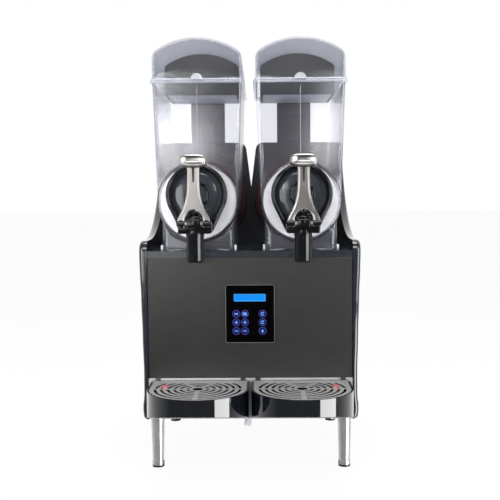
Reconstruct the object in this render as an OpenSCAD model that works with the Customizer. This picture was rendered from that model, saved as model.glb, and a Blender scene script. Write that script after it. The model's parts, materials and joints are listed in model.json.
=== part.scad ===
// Twin-bowl slushie machine, built as an assembly of separate pieces.
// Origin on the floor at the centre of the footprint, +X to the viewer's right, +Y to the back, +Z up.

/* [Cabinet] */
// Width of the cabinet between its side panels
cabinet_w = 402; // [370:1:440]
// Depth of the cabinet from the front panel to the back edge of the side panels
cabinet_d = 410; // [375:1:450]
// Height of the cabinet's underside above the floor
leg_h = 104; // [80:1:120]
// Height of the deck that the bowls stand on
deck_z = 435; // [425:1:470]
// Height of the deck's front edge
deck_t = 14; // [10:0.5:20]
// Bottom edge of the brushed front panel
front_panel_z = 185; // [180:1:200]
// Thickness of the brushed front panel and of the plate under it
front_sheet_t = 2; // [1:0.1:3]
// Thickness of the folded steel sheets inside
sheet_t = 1.5; // [1:0.1:2.5]
// Depth of the front panel's folded edges
panel_return = 14; // [12:1:20]
// Gap left between pieces that are seated on each other
seat_gap = 0.3; // [0.2:0.05:0.4]

/* [Side panels] */
// Thickness of a moulded side panel
side_t = 15.5; // [12:0.5:20]
// How far a side panel stands in front of the front panel
side_lead = 2; // [1:0.5:4]
// Height of a side panel's shoulder above the deck
shoulder_h = 20; // [10:1:30]
// Radius of a side panel's top front corner, seen from the side
shoulder_r = 22; // [12:1:28]
// Depth at which the top edge starts to sweep up
sweep_start = 60; // [40:1:90]
// Width of the rounded edge around a side panel's outside
side_edge_r = 7; // [4:0.5:9]

/* [Rear housing] */
// Height of the rear housing's top above the deck
housing_h = 232; // [215:1:250]
// Depth of the rear housing
housing_d = 49; // [47:0.5:60]
// Wall of the rear housing
housing_wall = 3; // [2:0.5:4]
// Depth of the V notch between the two towers
notch_h = 104; // [80:1:120]
// Width of the V notch where its corners start to round
notch_w = 22; // [16:1:30]
// Radius of the towers' inner top corners
notch_r = 17; // [10:1:20]
// How far the rear panel lies inside the side panels' back edges
rear_inset = 4; // [3:0.5:6]
// Thickness of the rear panel
rear_panel_t = 2; // [1:0.1:3]
// Pitch of the rear panel's air slots
slot_pitch = 15; // [12:0.5:20]

/* [Light columns] */
// Width of a light column
column_w = 78; // [60:1:90]
// Depth of a light column
column_d = 40; // [30:1:44]
// Height of a light column
column_h = 118; // [112:1:124]

/* [Bowls] */
// Gap between the two bowls' rims
bowl_gap = 17; // [12:0.5:24]
// Gap between a bowl's rim and the cabinet's side
bowl_side_gap = 7.5; // [4:0.5:12]
// Distance of a bowl's front wall behind the front panel
bowl_front = 18; // [14:0.5:22]
// How far the bowl's round lower part stands in front of that wall
bulge_out = 12; // [8:0.5:14]
// Length of the gasket between a bowl and the rear housing
gasket_d = 18; // [16:0.5:24]
// How much a bowl widens on each side from its round lower part up to its rim
bowl_lean = 8.5; // [4:0.5:12]
// Wall of a bowl
bowl_wall = 3.5; // [3:0.1:4]
// Height of a bowl's rim above the deck
bowl_h = 332; // [320:1:345]
// Height of the auger's axis above the deck
axis_h = 96; // [93:0.5:100]
// Width by which the rim stands out of the walls
rim_out = 5; // [3:0.5:6]
// Height of the rim
rim_h = 5; // [3:0.5:7]
// Distance of a bowl's straight skirt inside its upper walls
skirt_in = 16.5; // [14:0.5:20]
// How far the red gasket stands out of the bowl's round part
gasket_out = 12; // [8:0.5:14]

/* [Lids] */
// Height of a lid above the bowl's rim
lid_h = 83; // [76:1:90]
// Wall of a lid
lid_wall = 3; // [2:0.1:4]
// Radius of a lid's rounded shoulders
lid_shoulder_r = 20; // [14:0.5:26]
// Radius of a lid's shallow top arch
lid_arch_r = 142.5; // [130:0.5:170]
// Radius of the half-round finger tab
tab_r = 12; // [8:0.5:16]
// How far the finger tab stands out
tab_out = 12; // [6:0.5:16]
// Distance from a lid's front to the dark light box in it
light_box_back = 142; // [100:1:200]
// Gap between a lid's wall and the light box
light_box_gap = 6; // [4:0.5:9]
// How far a light box hangs below the rim
light_box_drop = 12; // [6:0.5:20]

/* [Cooling and stirring] */
// Gap between the cooling drum and the bowl's outside
drum_gap = 23; // [21:0.5:28]
// Distance of the drum's front end behind the bowl's front wall
drum_front = 27; // [22:1:40]
// Radius of the drive shaft
shaft_r = 6; // [5:0.5:8]
// Radial clearance of every turning shaft and piston
run_gap = 0.05; // [0.02:0.01:0.08]
// Gap between the auger and the bowl's inside
auger_gap = 2.5; // [1.5:0.5:4]
// Distance along the auger for one turn of its blade
auger_pitch = 104; // [80:1:140]
// Thickness of the auger's blade
blade_t = 6; // [4:0.5:8]
// Side of the square gearbox
gearbox_w = 88; // [70:1:92]

/* [Taps] */
// Height of the tap ring's centre above the auger's axis
tap_rise = 14; // [8:0.5:18]
// Distance of the black tap ring inside the bowl's round part
tap_in = 20; // [17:0.5:25]
// Wall of the tap ring
tap_wall = 8.5; // [6:0.5:10]
// Distance of the tap ring's front edge in front of the bowl
tap_ring_d = 36; // [30:0.5:40]
// Distance of the nozzle's axis in front of the front panel
nozzle_y = 65; // [58:0.5:70]
// Outer radius of the nozzle
nozzle_r = 16.5; // [15:0.5:17.5]
// Radius of the nozzle's bore
nozzle_bore_r = 12; // [10:0.5:12.5]
// Height of the nozzle's mouth above the deck, negative when below it
nozzle_drop = -17; // [-30:1:-10]
// Height of the valve block's underside above the nozzle's mouth
block_rise = 54; // [48:0.5:58]
// Radius of the outlet from the bowl to the nozzle
outlet_r = 8; // [6:0.5:9]
// Width of the valve block
block_w = 62; // [60:1:68]
// Height of the valve block
block_h = 33; // [31:0.5:38]
// Height of the lever's pivot under the valve block's top
pivot_drop = 14; // [12:0.5:16]
// Radius of the lever's pivot pin
pivot_r = 4; // [3:0.25:5]
// Height of the lever's paddle top above its pivot
lever_h = 127; // [110:1:140]
// Width of the lever's paddle
paddle_w = 50; // [44:0.5:58]
// Height of the lever's paddle
paddle_h = 24; // [20:0.5:28]
// Width of the lever's stem
stem_w = 22; // [18:0.5:26]
// Thickness of the lever
lever_t = 12; // [10:0.5:13]

/* [Drip trays] */
// Gap between the two trays
tray_gap = 5; // [3:0.5:10]
// Gap between a tray and the cabinet's side
tray_side_gap = 7.5; // [4:0.5:12]
// Distance of the centre of a tray's round front in front of the front panel
tray_y = 75; // [70:0.5:82]
// Height of a tray's top edge
tray_top = 181; // [176:0.5:184]
// Height of a tray's underside at the back
tray_back_z = 106.5; // [105:0.5:118]
// Height of a tray's underside at the front
tray_front_z = 151; // [135:0.5:153]
// Wall of a tray
tray_wall = 3; // [2:0.25:4]
// Width of the ledge that carries the grid
ledge_w = 4; // [3:0.5:6]
// Thickness of the steel grid
grid_t = 2; // [1:0.1:3]
// Distance of the grid's straight back edge in front of the front panel
grid_cut = 4; // [3:0.5:8]
// Depth of the tray's solid back, which holds the pins
tray_back_d = 25; // [22:0.5:28]
// Distance between the grid's ring slots
ring_pitch = 12; // [10:0.5:14]
// Width of the grid's ring slots
ring_slot_w = 5; // [4:0.5:7]
// Radius of the finger hole in the middle of the grid
finger_hole_r = 10; // [8:0.5:12]
// Radius of the red float
float_r = 6; // [4:0.5:7]
// Distance of the float's middle inside the tray's side
float_in = 31; // [28:1:36]
// Distance of the float's middle in front of the front panel
float_y = 56; // [50:1:60]
// Radius of the pins that carry a tray
tray_pin_r = 4; // [3:0.25:5]
// Distance of those pins inside the tray's sides
tray_pin_in = 35.5; // [30:0.5:45]

/* [Control panel] */
// Width of the black control panel
fascia_w = 96; // [90:1:110]
// Height of the black control panel
fascia_h = 114; // [108:1:130]
// Height of the control panel's middle
fascia_z = 312; // [300:1:325]
// Thickness of the control panel
fascia_t = 3; // [2:0.25:4]
// Width of the display
display_w = 61; // [50:1:70]
// Height of the display
display_h = 13.5; // [10:0.5:18]
// Radius of a round key
key_r = 7.6; // [6:0.1:7.9]
// Distance between neighbouring keys
key_pitch = 16.8; // [16.6:0.1:18]
// Travel of a key
key_travel = 0.6; // [0.4:0.05:0.8]

/* [Legs] */
// Distance of a leg's middle inside the cabinet's side
leg_inset = 14; // [12:1:50]
// Distance of the front legs behind the front panel
leg_front = 30; // [20:1:60]
// Distance of the back legs in front of the cabinet's back edge
leg_back = 30; // [20:1:60]
// Radius of a leg at its top
leg_top_r = 14; // [12:0.5:16]
// Radius of a leg at its foot
leg_foot_r = 11.5; // [9:0.5:12]
// Height of a leg's rubber foot
foot_h = 12; // [8:0.5:16]

/* [Inside the cabinet] */
// Height of the compressor's top above the cabinet's underside
compressor_h = 150; // [120:1:160]
// Gap between the compressor and the cabinet's side
compressor_gap = 28; // [20:1:40]
// Gap between the compressor and the machine's middle
compressor_middle_gap = 37; // [30:1:50]
// Distance of the compressor's axis behind the cabinet's middle
compressor_back = 5; // [0:1:20]
// Radius of the compressor's domed top
compressor_dome_r = 40; // [30:1:50]
// Distance of the compressor's rubber feet inside its outline
compressor_foot_in = 23; // [18:1:30]
// Distance of the condenser from the machine's middle
cond_x = 20; // [10:1:40]
// Depth of the condenser
cond_d = 42; // [30:1:50]
// Gap between the condenser and the cabinet's side
cond_gap = 12; // [8:1:20]
// Distance between the condenser's fins
fin_pitch = 8; // [6:0.5:12]
// Gap between the fan and the edge of its shroud
fan_gap = 12; // [10:1:20]
// Depth of the fan's shroud
shroud_d = 16; // [12:1:24]
// Distance of the fan motor's back in front of the shroud
motor_reach = 62; // [50:1:70]
// Radius of the fan motor
motor_r = 30; // [25:1:35]
// Length of the fan motor
motor_len = 36; // [30:1:44]
// Radius of a gear motor
gear_motor_r = 22; // [18:1:26]
// Length of a gear motor under its gearbox
gear_motor_len = 80; // [60:1:90]
// Radius of the refrigerant pipes
pipe_r = 4; // [3:0.5:5]
// Distance between the compressor's two pipes
line_side = 18; // [14:1:24]

/* [Power] */
// Distance of the mains socket's middle inside the cabinet's side
inlet_in = 60; // [50:1:80]
// Height of the mains socket above the cabinet's underside
inlet_up = 60; // [45:1:80]
// Width of the mains socket
inlet_w = 30; // [28:1:34]
// Height of the mains socket
inlet_h = 22; // [20:1:26]
// Distance between the mains socket and the power switch
switch_pitch = 42; // [36:1:50]
// Width of the power switch
switch_w = 22; // [20:1:26]
// Height of the power switch
switch_h = 30; // [28:1:36]
// Tilt of the power switch to each side
rocker_tilt = 7; // [5:0.5:9]

/* [Hidden] */
$fn = 64;
eps = 1;

// The trays share the cabinet's width
tray_r = (cabinet_w / 2 - tray_side_gap - tray_gap / 2) / 2;
tray_x = tray_gap / 2 + tray_r;

// The footprint runs from the trays' front to the side panels' back edge
tray_reach = tray_y + tray_r;
front_y = (tray_reach - cabinet_d) / 2;
inner_w = cabinet_w - 2 * seat_gap;

// Heights
axis_z = deck_z + axis_h;
rim_z = deck_z + bowl_h;
housing_z = deck_z + housing_h;
lid_z = rim_z + seat_gap;
lid_top = rim_z + lid_h;
column_top = housing_z + column_h;

// The bowls share the cabinet's width, and what stands in a bowl follows its radius
outer_half = (cabinet_w / 2 - bowl_side_gap - bowl_gap / 2) / 2;
bowl_x = bowl_gap / 2 + outer_half;
bowl_top_w = 2 * (outer_half - rim_out);
bowl_r = bowl_top_w / 2 - bowl_lean;
skirt_w = bowl_top_w - 2 * skirt_in;
gasket_r = bowl_r + gasket_out;
drum_r = bowl_r - drum_gap;
auger_r = bowl_r - bowl_wall - auger_gap;
tap_r = bowl_r - tap_in;

// Depths behind the front panel
rear_out = cabinet_d - rear_inset;
rear_in = rear_out - rear_panel_t;
housing_y = rear_in - housing_d;
bulge_front = bowl_front - bulge_out;
bowl_back = housing_y - gasket_d;
lid_front = bowl_front - 2;
lid_back = bowl_back + 2;

function arc(cx, cy, r, a, b, steps) =
    [for (k = [0 : steps]) let (turn = a + (b - a) * k / steps) [cx + r * cos(turn), cy + r * sin(turn)]];
function mirrored(points) =
    [for (k = [len(points) - 1 : -1 : 0]) [-points[k][0], points[k][1]]];
function bezier(p, t) =
    pow(1 - t, 3) * p[0] + 3 * t * pow(1 - t, 2) * p[1] + 3 * t * t * (1 - t) * p[2] + pow(t, 3) * p[3];

// Everything is drawn with the front panel's face at y = 0, then set on the footprint's centre
module placed() { translate([0, front_y, 0]) children(); }
module on_side(side) { translate([side * bowl_x, 0, 0]) children(); }
module both_sides() { for (side = [-1, 1]) on_side(side) children(); }
// An outline in X and Z, pulled from one depth to another
module along_y(from, to) { translate([0, to, 0]) rotate([90, 0, 0]) linear_extrude(to - from) children(); }
// An outline in Y and Z, pulled from one X to another
module along_x(from, to) {
    translate([from, 0, 0]) rotate([90, 0, 90]) linear_extrude(to - from) children();
}
module rod_y(x, z, r, from, to) {
    translate([x, to, z]) rotate([90, 0, 0]) cylinder(r = r, h = to - from);
}
module rod_x(y, z, r, from, to) {
    translate([from, y, z]) rotate([0, 90, 0]) cylinder(r = r, h = to - from);
}
module block(from, to) { translate(from) cube(to - from); }

// ---- Cabinet ----

module base_pan() color("dimgray") placed() difference() {
    block([-inner_w / 2, panel_return + seat_gap, leg_h], [inner_w / 2, rear_in, leg_h + 30]);
    block([-inner_w / 2 - eps, panel_return + seat_gap + sheet_t, leg_h + sheet_t],
          [inner_w / 2 + eps, rear_in - sheet_t, leg_h + 30 + eps]);
    for (p = lower_screws) rod_y(p[0], p[1], screw_r + run_gap, rear_in - 2 * sheet_t, rear_in + eps);
}

frame_front = panel_return + 2 * seat_gap + sheet_t;
frame_back = housing_y - seat_gap;
frame_floor = leg_h + sheet_t;
frame_top = deck_z - deck_t;
module inner_frame() color("silver") placed() {
    for (side = [-1, 1])
        block([side * inner_w / 2 - (side > 0 ? sheet_t : 0), frame_front, frame_floor],
              [side * inner_w / 2 + (side > 0 ? 0 : sheet_t), frame_back, frame_top]);
    for (y = [frame_front, frame_back - 20])
        difference() {
            block([-inner_w / 2, y, frame_top - 20], [inner_w / 2, y + 20, frame_top]);
            block([-inner_w / 2 + sheet_t, y + sheet_t, frame_top - 20 - eps],
                  [inner_w / 2 - sheet_t, y + 20 + eps, frame_top - sheet_t]);
        }
}

window_w = fascia_w - 12;
window_h = fascia_h - 12;
module front_panel() color([0.3, 0.3, 0.31]) placed() difference() {
    block([-inner_w / 2, 0, front_panel_z], [inner_w / 2, panel_return, frame_top]);
    block([-inner_w / 2 + front_sheet_t, front_sheet_t, front_panel_z + front_sheet_t],
          [inner_w / 2 - front_sheet_t, panel_return + eps, frame_top - front_sheet_t]);
    block([-window_w / 2, -eps, fascia_z - window_h / 2],
          [window_w / 2, front_sheet_t + eps, fascia_z + window_h / 2]);
}

tray_pin_x = tray_r - tray_pin_in;
tray_pin_z = tray_back_z + 27;
tray_pin_len = tray_back_d;
module lower_front_plate() color("silver") placed() {
    block([-inner_w / 2, 0, leg_h], [inner_w / 2, front_sheet_t, front_panel_z - seat_gap]);
    for (side = [-1, 1])
        block([side * (inner_w / 2 - front_sheet_t / 2) - front_sheet_t / 2, 0, leg_h],
              [side * (inner_w / 2 - front_sheet_t / 2) + front_sheet_t / 2, panel_return,
               front_panel_z - seat_gap]);
    for (side = [-1, 1]) for (x = [-tray_pin_x, tray_pin_x])
        rod_y(side * tray_x + x, tray_pin_z, tray_pin_r, -tray_pin_len, front_sheet_t / 2);
}

// Side profile in Y and Z, shrunk by an inset for the rounded outer edge
side_floor = leg_h - 1;
shoulder_z = deck_z + shoulder_h;
sweep_end = cabinet_d - 18;
side_top = housing_z + 1;
function side_profile(i) = concat(
    [[cabinet_d - i, side_floor + i], [-side_lead + i, side_floor + i]],
    arc(-side_lead + shoulder_r, shoulder_z - shoulder_r, shoulder_r - i, 180, 90, 8),
    [for (k = [0 : 14]) bezier([[sweep_start, shoulder_z - i], [cabinet_d * 0.56, shoulder_z - i],
                                [cabinet_d * 0.85, shoulder_z + housing_h * 0.45 - i],
                                [sweep_end + i, side_top - i]], k / 14)],
    [[cabinet_d - i, side_top - i]]);
// The outside is built of layers that follow a quarter round
side_steps = 4;
module side_panel(side) {
    mirror([side > 0 ? 0 : 1, 0, 0]) {
        along_x(cabinet_w / 2, cabinet_w / 2 + side_t - side_edge_r) polygon(side_profile(0));
        for (k = [1 : side_steps])
            along_x(cabinet_w / 2, cabinet_w / 2 + side_t - side_edge_r * (1 - sin(90 * k / side_steps)))
                polygon(side_profile(side_edge_r * (1 - cos(90 * (k - 0.5) / side_steps))));
    }
}
module side_panel_left() color([0.14, 0.15, 0.18]) placed() side_panel(-1);
module side_panel_right() color([0.14, 0.15, 0.18]) placed() side_panel(1);

module top_deck() color([0.1, 0.1, 0.12]) placed() difference() {
    block([-inner_w / 2, 0, frame_top], [inner_w / 2, frame_back, deck_z]);
    block([-inner_w / 2 + 3, 3 + frame_front, frame_top - eps],
          [inner_w / 2 - 3, frame_back - 23, deck_z - 3]);
}

// Outline of the two towers in X and Z, with the V notch between them
function tower_half(i) = concat(
    [[i, housing_z - notch_h - i]],
    arc(notch_w / 2 + notch_r, housing_z - notch_r, notch_r - i, 180, 90, 6),
    [[inner_w / 2 - i, housing_z - i]]);
module towers(i, floor_z) {
    polygon(concat([[-inner_w / 2 + i, floor_z]], mirrored(tower_half(i)), tower_half(i),
                   [[inner_w / 2 - i, floor_z]]));
}

// Screws through the rear panel: height over the floor and distance from the middle
screw_r = 2;
screw_head_r = 4;
screw_in = 16;
screw_x = cabinet_w / 2 - screw_in;
upper_screws = [for (x = [-screw_x, screw_x]) for (z = [deck_z - 60, housing_z - screw_in]) [x, z]];
lower_screws = [for (x = [-screw_x, screw_x]) [x, leg_h + screw_in]];
housing_floor = deck_z - deck_t - 100;
pipe_x = bowl_x + (drum_r + gasket_r) / 2 - 12;
module rear_housing() color([0.12, 0.13, 0.15]) placed() difference() {
    union() {
        difference() {
            along_y(housing_y, rear_in) towers(0, housing_floor);
            along_y(housing_y + housing_wall, rear_in + eps) towers(housing_wall, housing_floor - eps);
        }
        for (p = upper_screws) rod_y(p[0], p[1], 5, housing_y + housing_wall / 2, rear_in);
    }
    for (p = upper_screws) rod_y(p[0], p[1], screw_r + run_gap, rear_in - 12, rear_in + eps);
    both_sides() rod_y(0, axis_z, shaft_r + 4, housing_y - eps, housing_y + housing_wall + eps);
    for (side = [-1, 1])
        rod_y(side * pipe_x, axis_z, pipe_r + seat_gap, housing_y - eps, housing_y + housing_wall + eps);
}

inlet_x = inlet_in - cabinet_w / 2;
inlet_z = leg_h + inlet_up;
switch_x = inlet_x + switch_pitch;
vent_w = cabinet_w / 2 - 50;
vent_rows = floor((housing_floor - leg_h - 120) / slot_pitch);
module rear_panel() color([0.2, 0.2, 0.21]) placed() difference() {
    along_y(rear_in, rear_out) towers(0, leg_h + seat_gap);
    for (row = [0 : vent_rows - 1]) for (side = [-1, 1])
        block([side * (vent_w / 2 + 8) - vent_w / 2, rear_in - eps, leg_h + 100 + row * slot_pitch],
              [side * (vent_w / 2 + 8) + vent_w / 2, rear_out + eps, leg_h + 105 + row * slot_pitch]);
    both_sides() for (row = [-2 : 2])
        block([-30, rear_in - eps, axis_z + row * slot_pitch],
              [30, rear_out + eps, axis_z + 5 + row * slot_pitch]);
    for (p = concat(upper_screws, lower_screws))
        rod_y(p[0], p[1], screw_r + seat_gap, rear_in - eps, rear_out + eps);
    block([inlet_x - inlet_w / 2, rear_in - eps, inlet_z - inlet_h / 2],
          [inlet_x + inlet_w / 2, rear_out + eps, inlet_z + inlet_h / 2]);
    block([switch_x - switch_w / 2, rear_in - eps, inlet_z - switch_h / 2],
          [switch_x + switch_w / 2, rear_out + eps, inlet_z + switch_h / 2]);
}

module case_screws() color("silver") placed() for (p = concat(upper_screws, lower_screws)) {
    rod_y(p[0], p[1], screw_head_r, rear_out, rear_out + 2.4);
    rod_y(p[0], p[1], screw_r, rear_in - (p[1] < inlet_z ? 2 : 8), rear_out + eps);
}

column_y = housing_y + 4;
module light_columns() color([0.2, 0.21, 0.23]) placed() both_sides() difference() {
    block([-column_w / 2, column_y, housing_z], [column_w / 2, column_y + column_d, column_top]);
    block([-column_w / 2 + 3, column_y + 3, housing_z - eps],
          [column_w / 2 - 3, column_y + column_d - 3, column_top - 3]);
}

// ---- Bowls and lids ----

// A bowl's cross-section: a round bottom and walls that lean out to the rim
module bowl_section(i, top_z) {
    lean = (bowl_top_w / 2 - bowl_r) / (bowl_h - axis_h);
    top_half = bowl_r - i + lean * (top_z - axis_z);
    translate([0, axis_z]) circle(r = bowl_r - i, $fn = 96);
    polygon([[-bowl_r + i, axis_z], [bowl_r - i, axis_z], [top_half, top_z], [-top_half, top_z]]);
}

outlet_z = deck_z + nozzle_drop + block_rise + outlet_r - 1;
module bowl(side) color([0.8, 0.86, 0.9, 0.4]) placed() on_side(side) difference() {
    union() {
        along_y(bowl_front, bowl_back) bowl_section(0, rim_z);
        rod_y(0, axis_z, bowl_r, bulge_front, bowl_back);
        block([-outer_half, bowl_front - rim_out, rim_z - rim_h], [outer_half, bowl_back + rim_out, rim_z]);
        for (x = [-1, 1])
            block([x * (skirt_w / 2 - bowl_wall / 2) - bowl_wall / 2, bowl_front, deck_z + seat_gap],
                  [x * (skirt_w / 2 - bowl_wall / 2) + bowl_wall / 2, bowl_back, axis_z]);
        block([-skirt_w / 2, bowl_front, deck_z + seat_gap], [skirt_w / 2, bowl_front + bowl_wall, axis_z]);
    }
    along_y(bowl_front + bowl_wall, bowl_back - bowl_wall) bowl_section(bowl_wall, rim_z + eps);
    rod_y(0, axis_z, bowl_r - bowl_wall, bulge_front + bowl_wall, bowl_back + eps);
    rod_y(0, outlet_z, outlet_r, bulge_front - eps, bulge_front + 2 * bowl_wall);
}
module bowl_left() bowl(-1);
module bowl_right() bowl(1);

module bowl_gaskets() color([0.55, 0.05, 0.06]) placed() both_sides()
    translate([0, housing_y, axis_z]) rotate([90, 0, 0]) {
        gasket_len = housing_y - bowl_back - seat_gap;
        gasket_in = bowl_r - bowl_wall;
        rotate_extrude($fn = 96) {
            translate([gasket_in, 0]) square([gasket_r - gasket_in - 3, gasket_len]);
            for (k = [0 : 2]) translate([gasket_in, k * gasket_len / 2.5])
                square([gasket_r - gasket_in, gasket_len / 5]);
        }
    }

// Outline of a lid in X and Z: straight sides, round shoulders, a shallow arch
lid_half = bowl_top_w / 2;
arch_z = lid_top - lid_arch_r;
shoulder_x = lid_half - lid_shoulder_r;
shoulder_up = sqrt(pow(lid_arch_r - lid_shoulder_r, 2) - pow(shoulder_x, 2));
shoulder_end = atan2(shoulder_up, shoulder_x);
function lid_right_half(i, floor_z) = concat(
    [[lid_half - i, floor_z]],
    arc(shoulder_x, arch_z + shoulder_up, lid_shoulder_r - i, 0, shoulder_end, 6),
    arc(0, arch_z, lid_arch_r - i, shoulder_end, 90, 8));
module lid_outline(i, floor_z) {
    polygon(concat(lid_right_half(i, floor_z), mirrored(lid_right_half(i, floor_z))));
}

tail_w = 60;
tail_h = 15;
tail_z = column_top + seat_gap;
tail_end = column_y + column_d - 5;
module lid(side) color([0.85, 0.88, 0.9, 0.4]) placed() on_side(side) difference() {
    union() {
        along_y(lid_front, lid_back) lid_outline(0, lid_z);
        intersection() {
            rod_y(0, lid_z, tab_r, lid_front - tab_out, lid_front + lid_wall);
            block([-tab_r, lid_front - tab_out, lid_z], [tab_r, lid_front + lid_wall, lid_z + tab_r]);
        }
    }
    along_y(lid_front + lid_wall, lid_back - lid_wall) lid_outline(lid_wall, lid_z - eps);
    block([-tail_w / 2 - seat_gap, lid_back - lid_wall - eps, lid_z - eps],
          [tail_w / 2 + seat_gap, lid_back + eps, tail_z + tail_h + seat_gap]);
}
module lid_left() lid(-1);
module lid_right() lid(1);

light_box_front = lid_front + light_box_back;
light_box_rear = lid_back - lid_wall - 8;
light_box_wall = 2.5;
light_inset = lid_wall + light_box_gap;
module light_box(side) color([0.22, 0.23, 0.25]) placed() on_side(side) {
    difference() {
        along_y(light_box_front, light_box_rear) lid_outline(light_inset, rim_z - light_box_drop);
        along_y(light_box_front + light_box_wall, light_box_rear - light_box_wall)
            lid_outline(light_inset + light_box_wall, rim_z - light_box_drop - eps);
    }
    block([-tail_w / 2, light_box_rear - light_box_wall, tail_z], [tail_w / 2, tail_end, tail_z + tail_h]);
    // Clips that hang the light box from the lid's arch
    for (x = [-20, 20])
        intersection() {
            block([x - 5, light_box_front, lid_top - light_inset - 8],
                  [x + 5, light_box_front + 14, lid_top]);
            along_y(light_box_front - eps, light_box_rear) lid_outline(lid_wall, rim_z);
        }
}
module light_box_left() light_box(-1);
module light_box_right() light_box(1);

// ---- Cooling drum, auger and drive ----

drum_y = bowl_front + drum_front;
module evaporators() color("gainsboro") placed() both_sides() difference() {
    union() {
        rod_y(0, axis_z, drum_r, drum_y, housing_y);
        rod_y(0, axis_z, bowl_r - bowl_wall - 0.5, housing_y - 6, housing_y);
    }
    difference() {
        rod_y(0, axis_z, drum_r - 2, drum_y + 3, housing_y - 3);
        rod_y(0, axis_z, shaft_r + 4, drum_y, housing_y);
    }
    rod_y(0, axis_z, shaft_r + run_gap, drum_y - eps, housing_y + eps);
}

auger_front = bulge_front + bowl_wall + 5;
auger_back = bowl_back - 3;
auger_in = drum_r + 3;
auger_disc_t = 5;
// The blade is one strip with four corners to each ring, swept along a helix
blade_steps = 22;
module auger_blade(from, to) {
    rings = ceil((to - from - blade_t) / auger_pitch * blade_steps);
    points = [for (k = [0 : rings])
        let (a = 360 * k / blade_steps, z = from + (to - from - blade_t) * k / rings)
        for (c = [[auger_in, 0], [auger_r - 0.5, 0], [auger_r - 0.5, blade_t], [auger_in, blade_t]])
            [c[0] * cos(a), c[0] * sin(a), z + c[1]]];
    sides = [for (k = [0 : rings - 1]) for (c = [0 : 3]) let (n = (c + 1) % 4)
        for (t = [[4 * k + c, 4 * k + n, 4 * k + 4 + n], [4 * k + c, 4 * k + 4 + n, 4 * k + 4 + c]]) t];
    polyhedron(points, concat([[3, 2, 1, 0]], sides, [[for (c = [0 : 3]) 4 * rings + c]]));
}
module auger(side) color("whitesmoke") placed() on_side(side) translate([0, 0, axis_z]) {
    rotate([90, 0, 0]) mirror([0, 0, 1]) {
        difference() {
            union() {
                translate([0, 0, auger_front]) cylinder(r = auger_r, h = auger_disc_t, $fn = 96);
                translate([0, 0, auger_front]) cylinder(r = shaft_r + 7, h = drum_y - auger_front - 2);
            }
            translate([0, 0, auger_front + 3]) cylinder(r = shaft_r + run_gap, h = drum_y);
        }
        translate([0, 0, auger_back - 5]) difference() {
            cylinder(r = auger_r, h = 5, $fn = 96);
            translate([0, 0, -eps]) cylinder(r = auger_in, h = 5 + 2 * eps, $fn = 96);
        }
        auger_blade(auger_front + 1, auger_back - 2);
    }
}
module auger_left() auger(-1);
module auger_right() auger(1);

gearbox_front = housing_y + housing_wall;
gearbox_back = rear_in - 2;
module drive_shaft(side) color("silver") placed() on_side(side)
    rod_y(0, axis_z, shaft_r, auger_front + 3 + seat_gap, gearbox_back - 8);
module drive_shaft_left() drive_shaft(-1);
module drive_shaft_right() drive_shaft(1);

module gear_motors() color([0.35, 0.36, 0.38]) placed() both_sides() difference() {
    union() {
        block([-gearbox_w / 2, gearbox_front, axis_z - gearbox_w / 2],
              [gearbox_w / 2, gearbox_back, axis_z + gearbox_w / 2]);
        translate([0, (gearbox_front + gearbox_back) / 2, axis_z - gearbox_w / 2 - gear_motor_len])
            cylinder(r = gear_motor_r, h = gear_motor_len + eps);
    }
    rod_y(0, axis_z, shaft_r + run_gap, gearbox_front - eps, gearbox_back - 7);
}

// ---- Taps ----

tap_z = axis_z + tap_rise;
tap_front = bulge_front - tap_ring_d;
nozzle_mouth = deck_z + nozzle_drop;
block_z = nozzle_mouth + block_rise;
block_top = block_z + block_h;
block_front = -nozzle_y - 16;
pivot_y = block_front - 9;
pivot_z = block_top - pivot_drop;
boss_half = 12;
leg_in = 17;
leg_out = 30;
hub_r = 27;
module tap_body(side) color([0.06, 0.06, 0.07]) placed() on_side(side) difference() {
    union() {
        difference() {
            along_y(tap_front, bulge_front) {
                translate([0, tap_z]) circle(r = tap_r, $fn = 96);
                polygon([[-tap_r * 0.86, tap_z - tap_r * 0.51], [tap_r * 0.86, tap_z - tap_r * 0.51],
                         [block_w / 2, block_z + 2], [-block_w / 2, block_z + 2]]);
            }
            rod_y(0, tap_z, tap_r - tap_wall, tap_front - eps, bulge_front - 14);
        }
        rod_y(0, tap_z, hub_r, bulge_front - 22, bulge_front - 13);
        block([-block_w / 2, block_front, block_z], [block_w / 2, bulge_front, block_top]);
        translate([0, -nozzle_y, nozzle_mouth]) cylinder(r = nozzle_r, h = block_z - nozzle_mouth + eps);
        block([-boss_half, pivot_y - 6, pivot_z - 8], [boss_half, block_front + eps, pivot_z + 8]);
        rod_x(pivot_y, pivot_z, pivot_r, -leg_out - 2, leg_out + 2);
    }
    rod_y(0, tap_z, hub_r - 4, bulge_front - 23, bulge_front - 17);
    translate([0, -nozzle_y, nozzle_mouth - eps])
        cylinder(r = nozzle_bore_r, h = block_top - nozzle_mouth + 2 * eps);
    rod_y(0, outlet_z, outlet_r, -nozzle_y, bulge_front + eps);
}
module tap_body_left() tap_body(-1);
module tap_body_right() tap_body(1);

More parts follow.
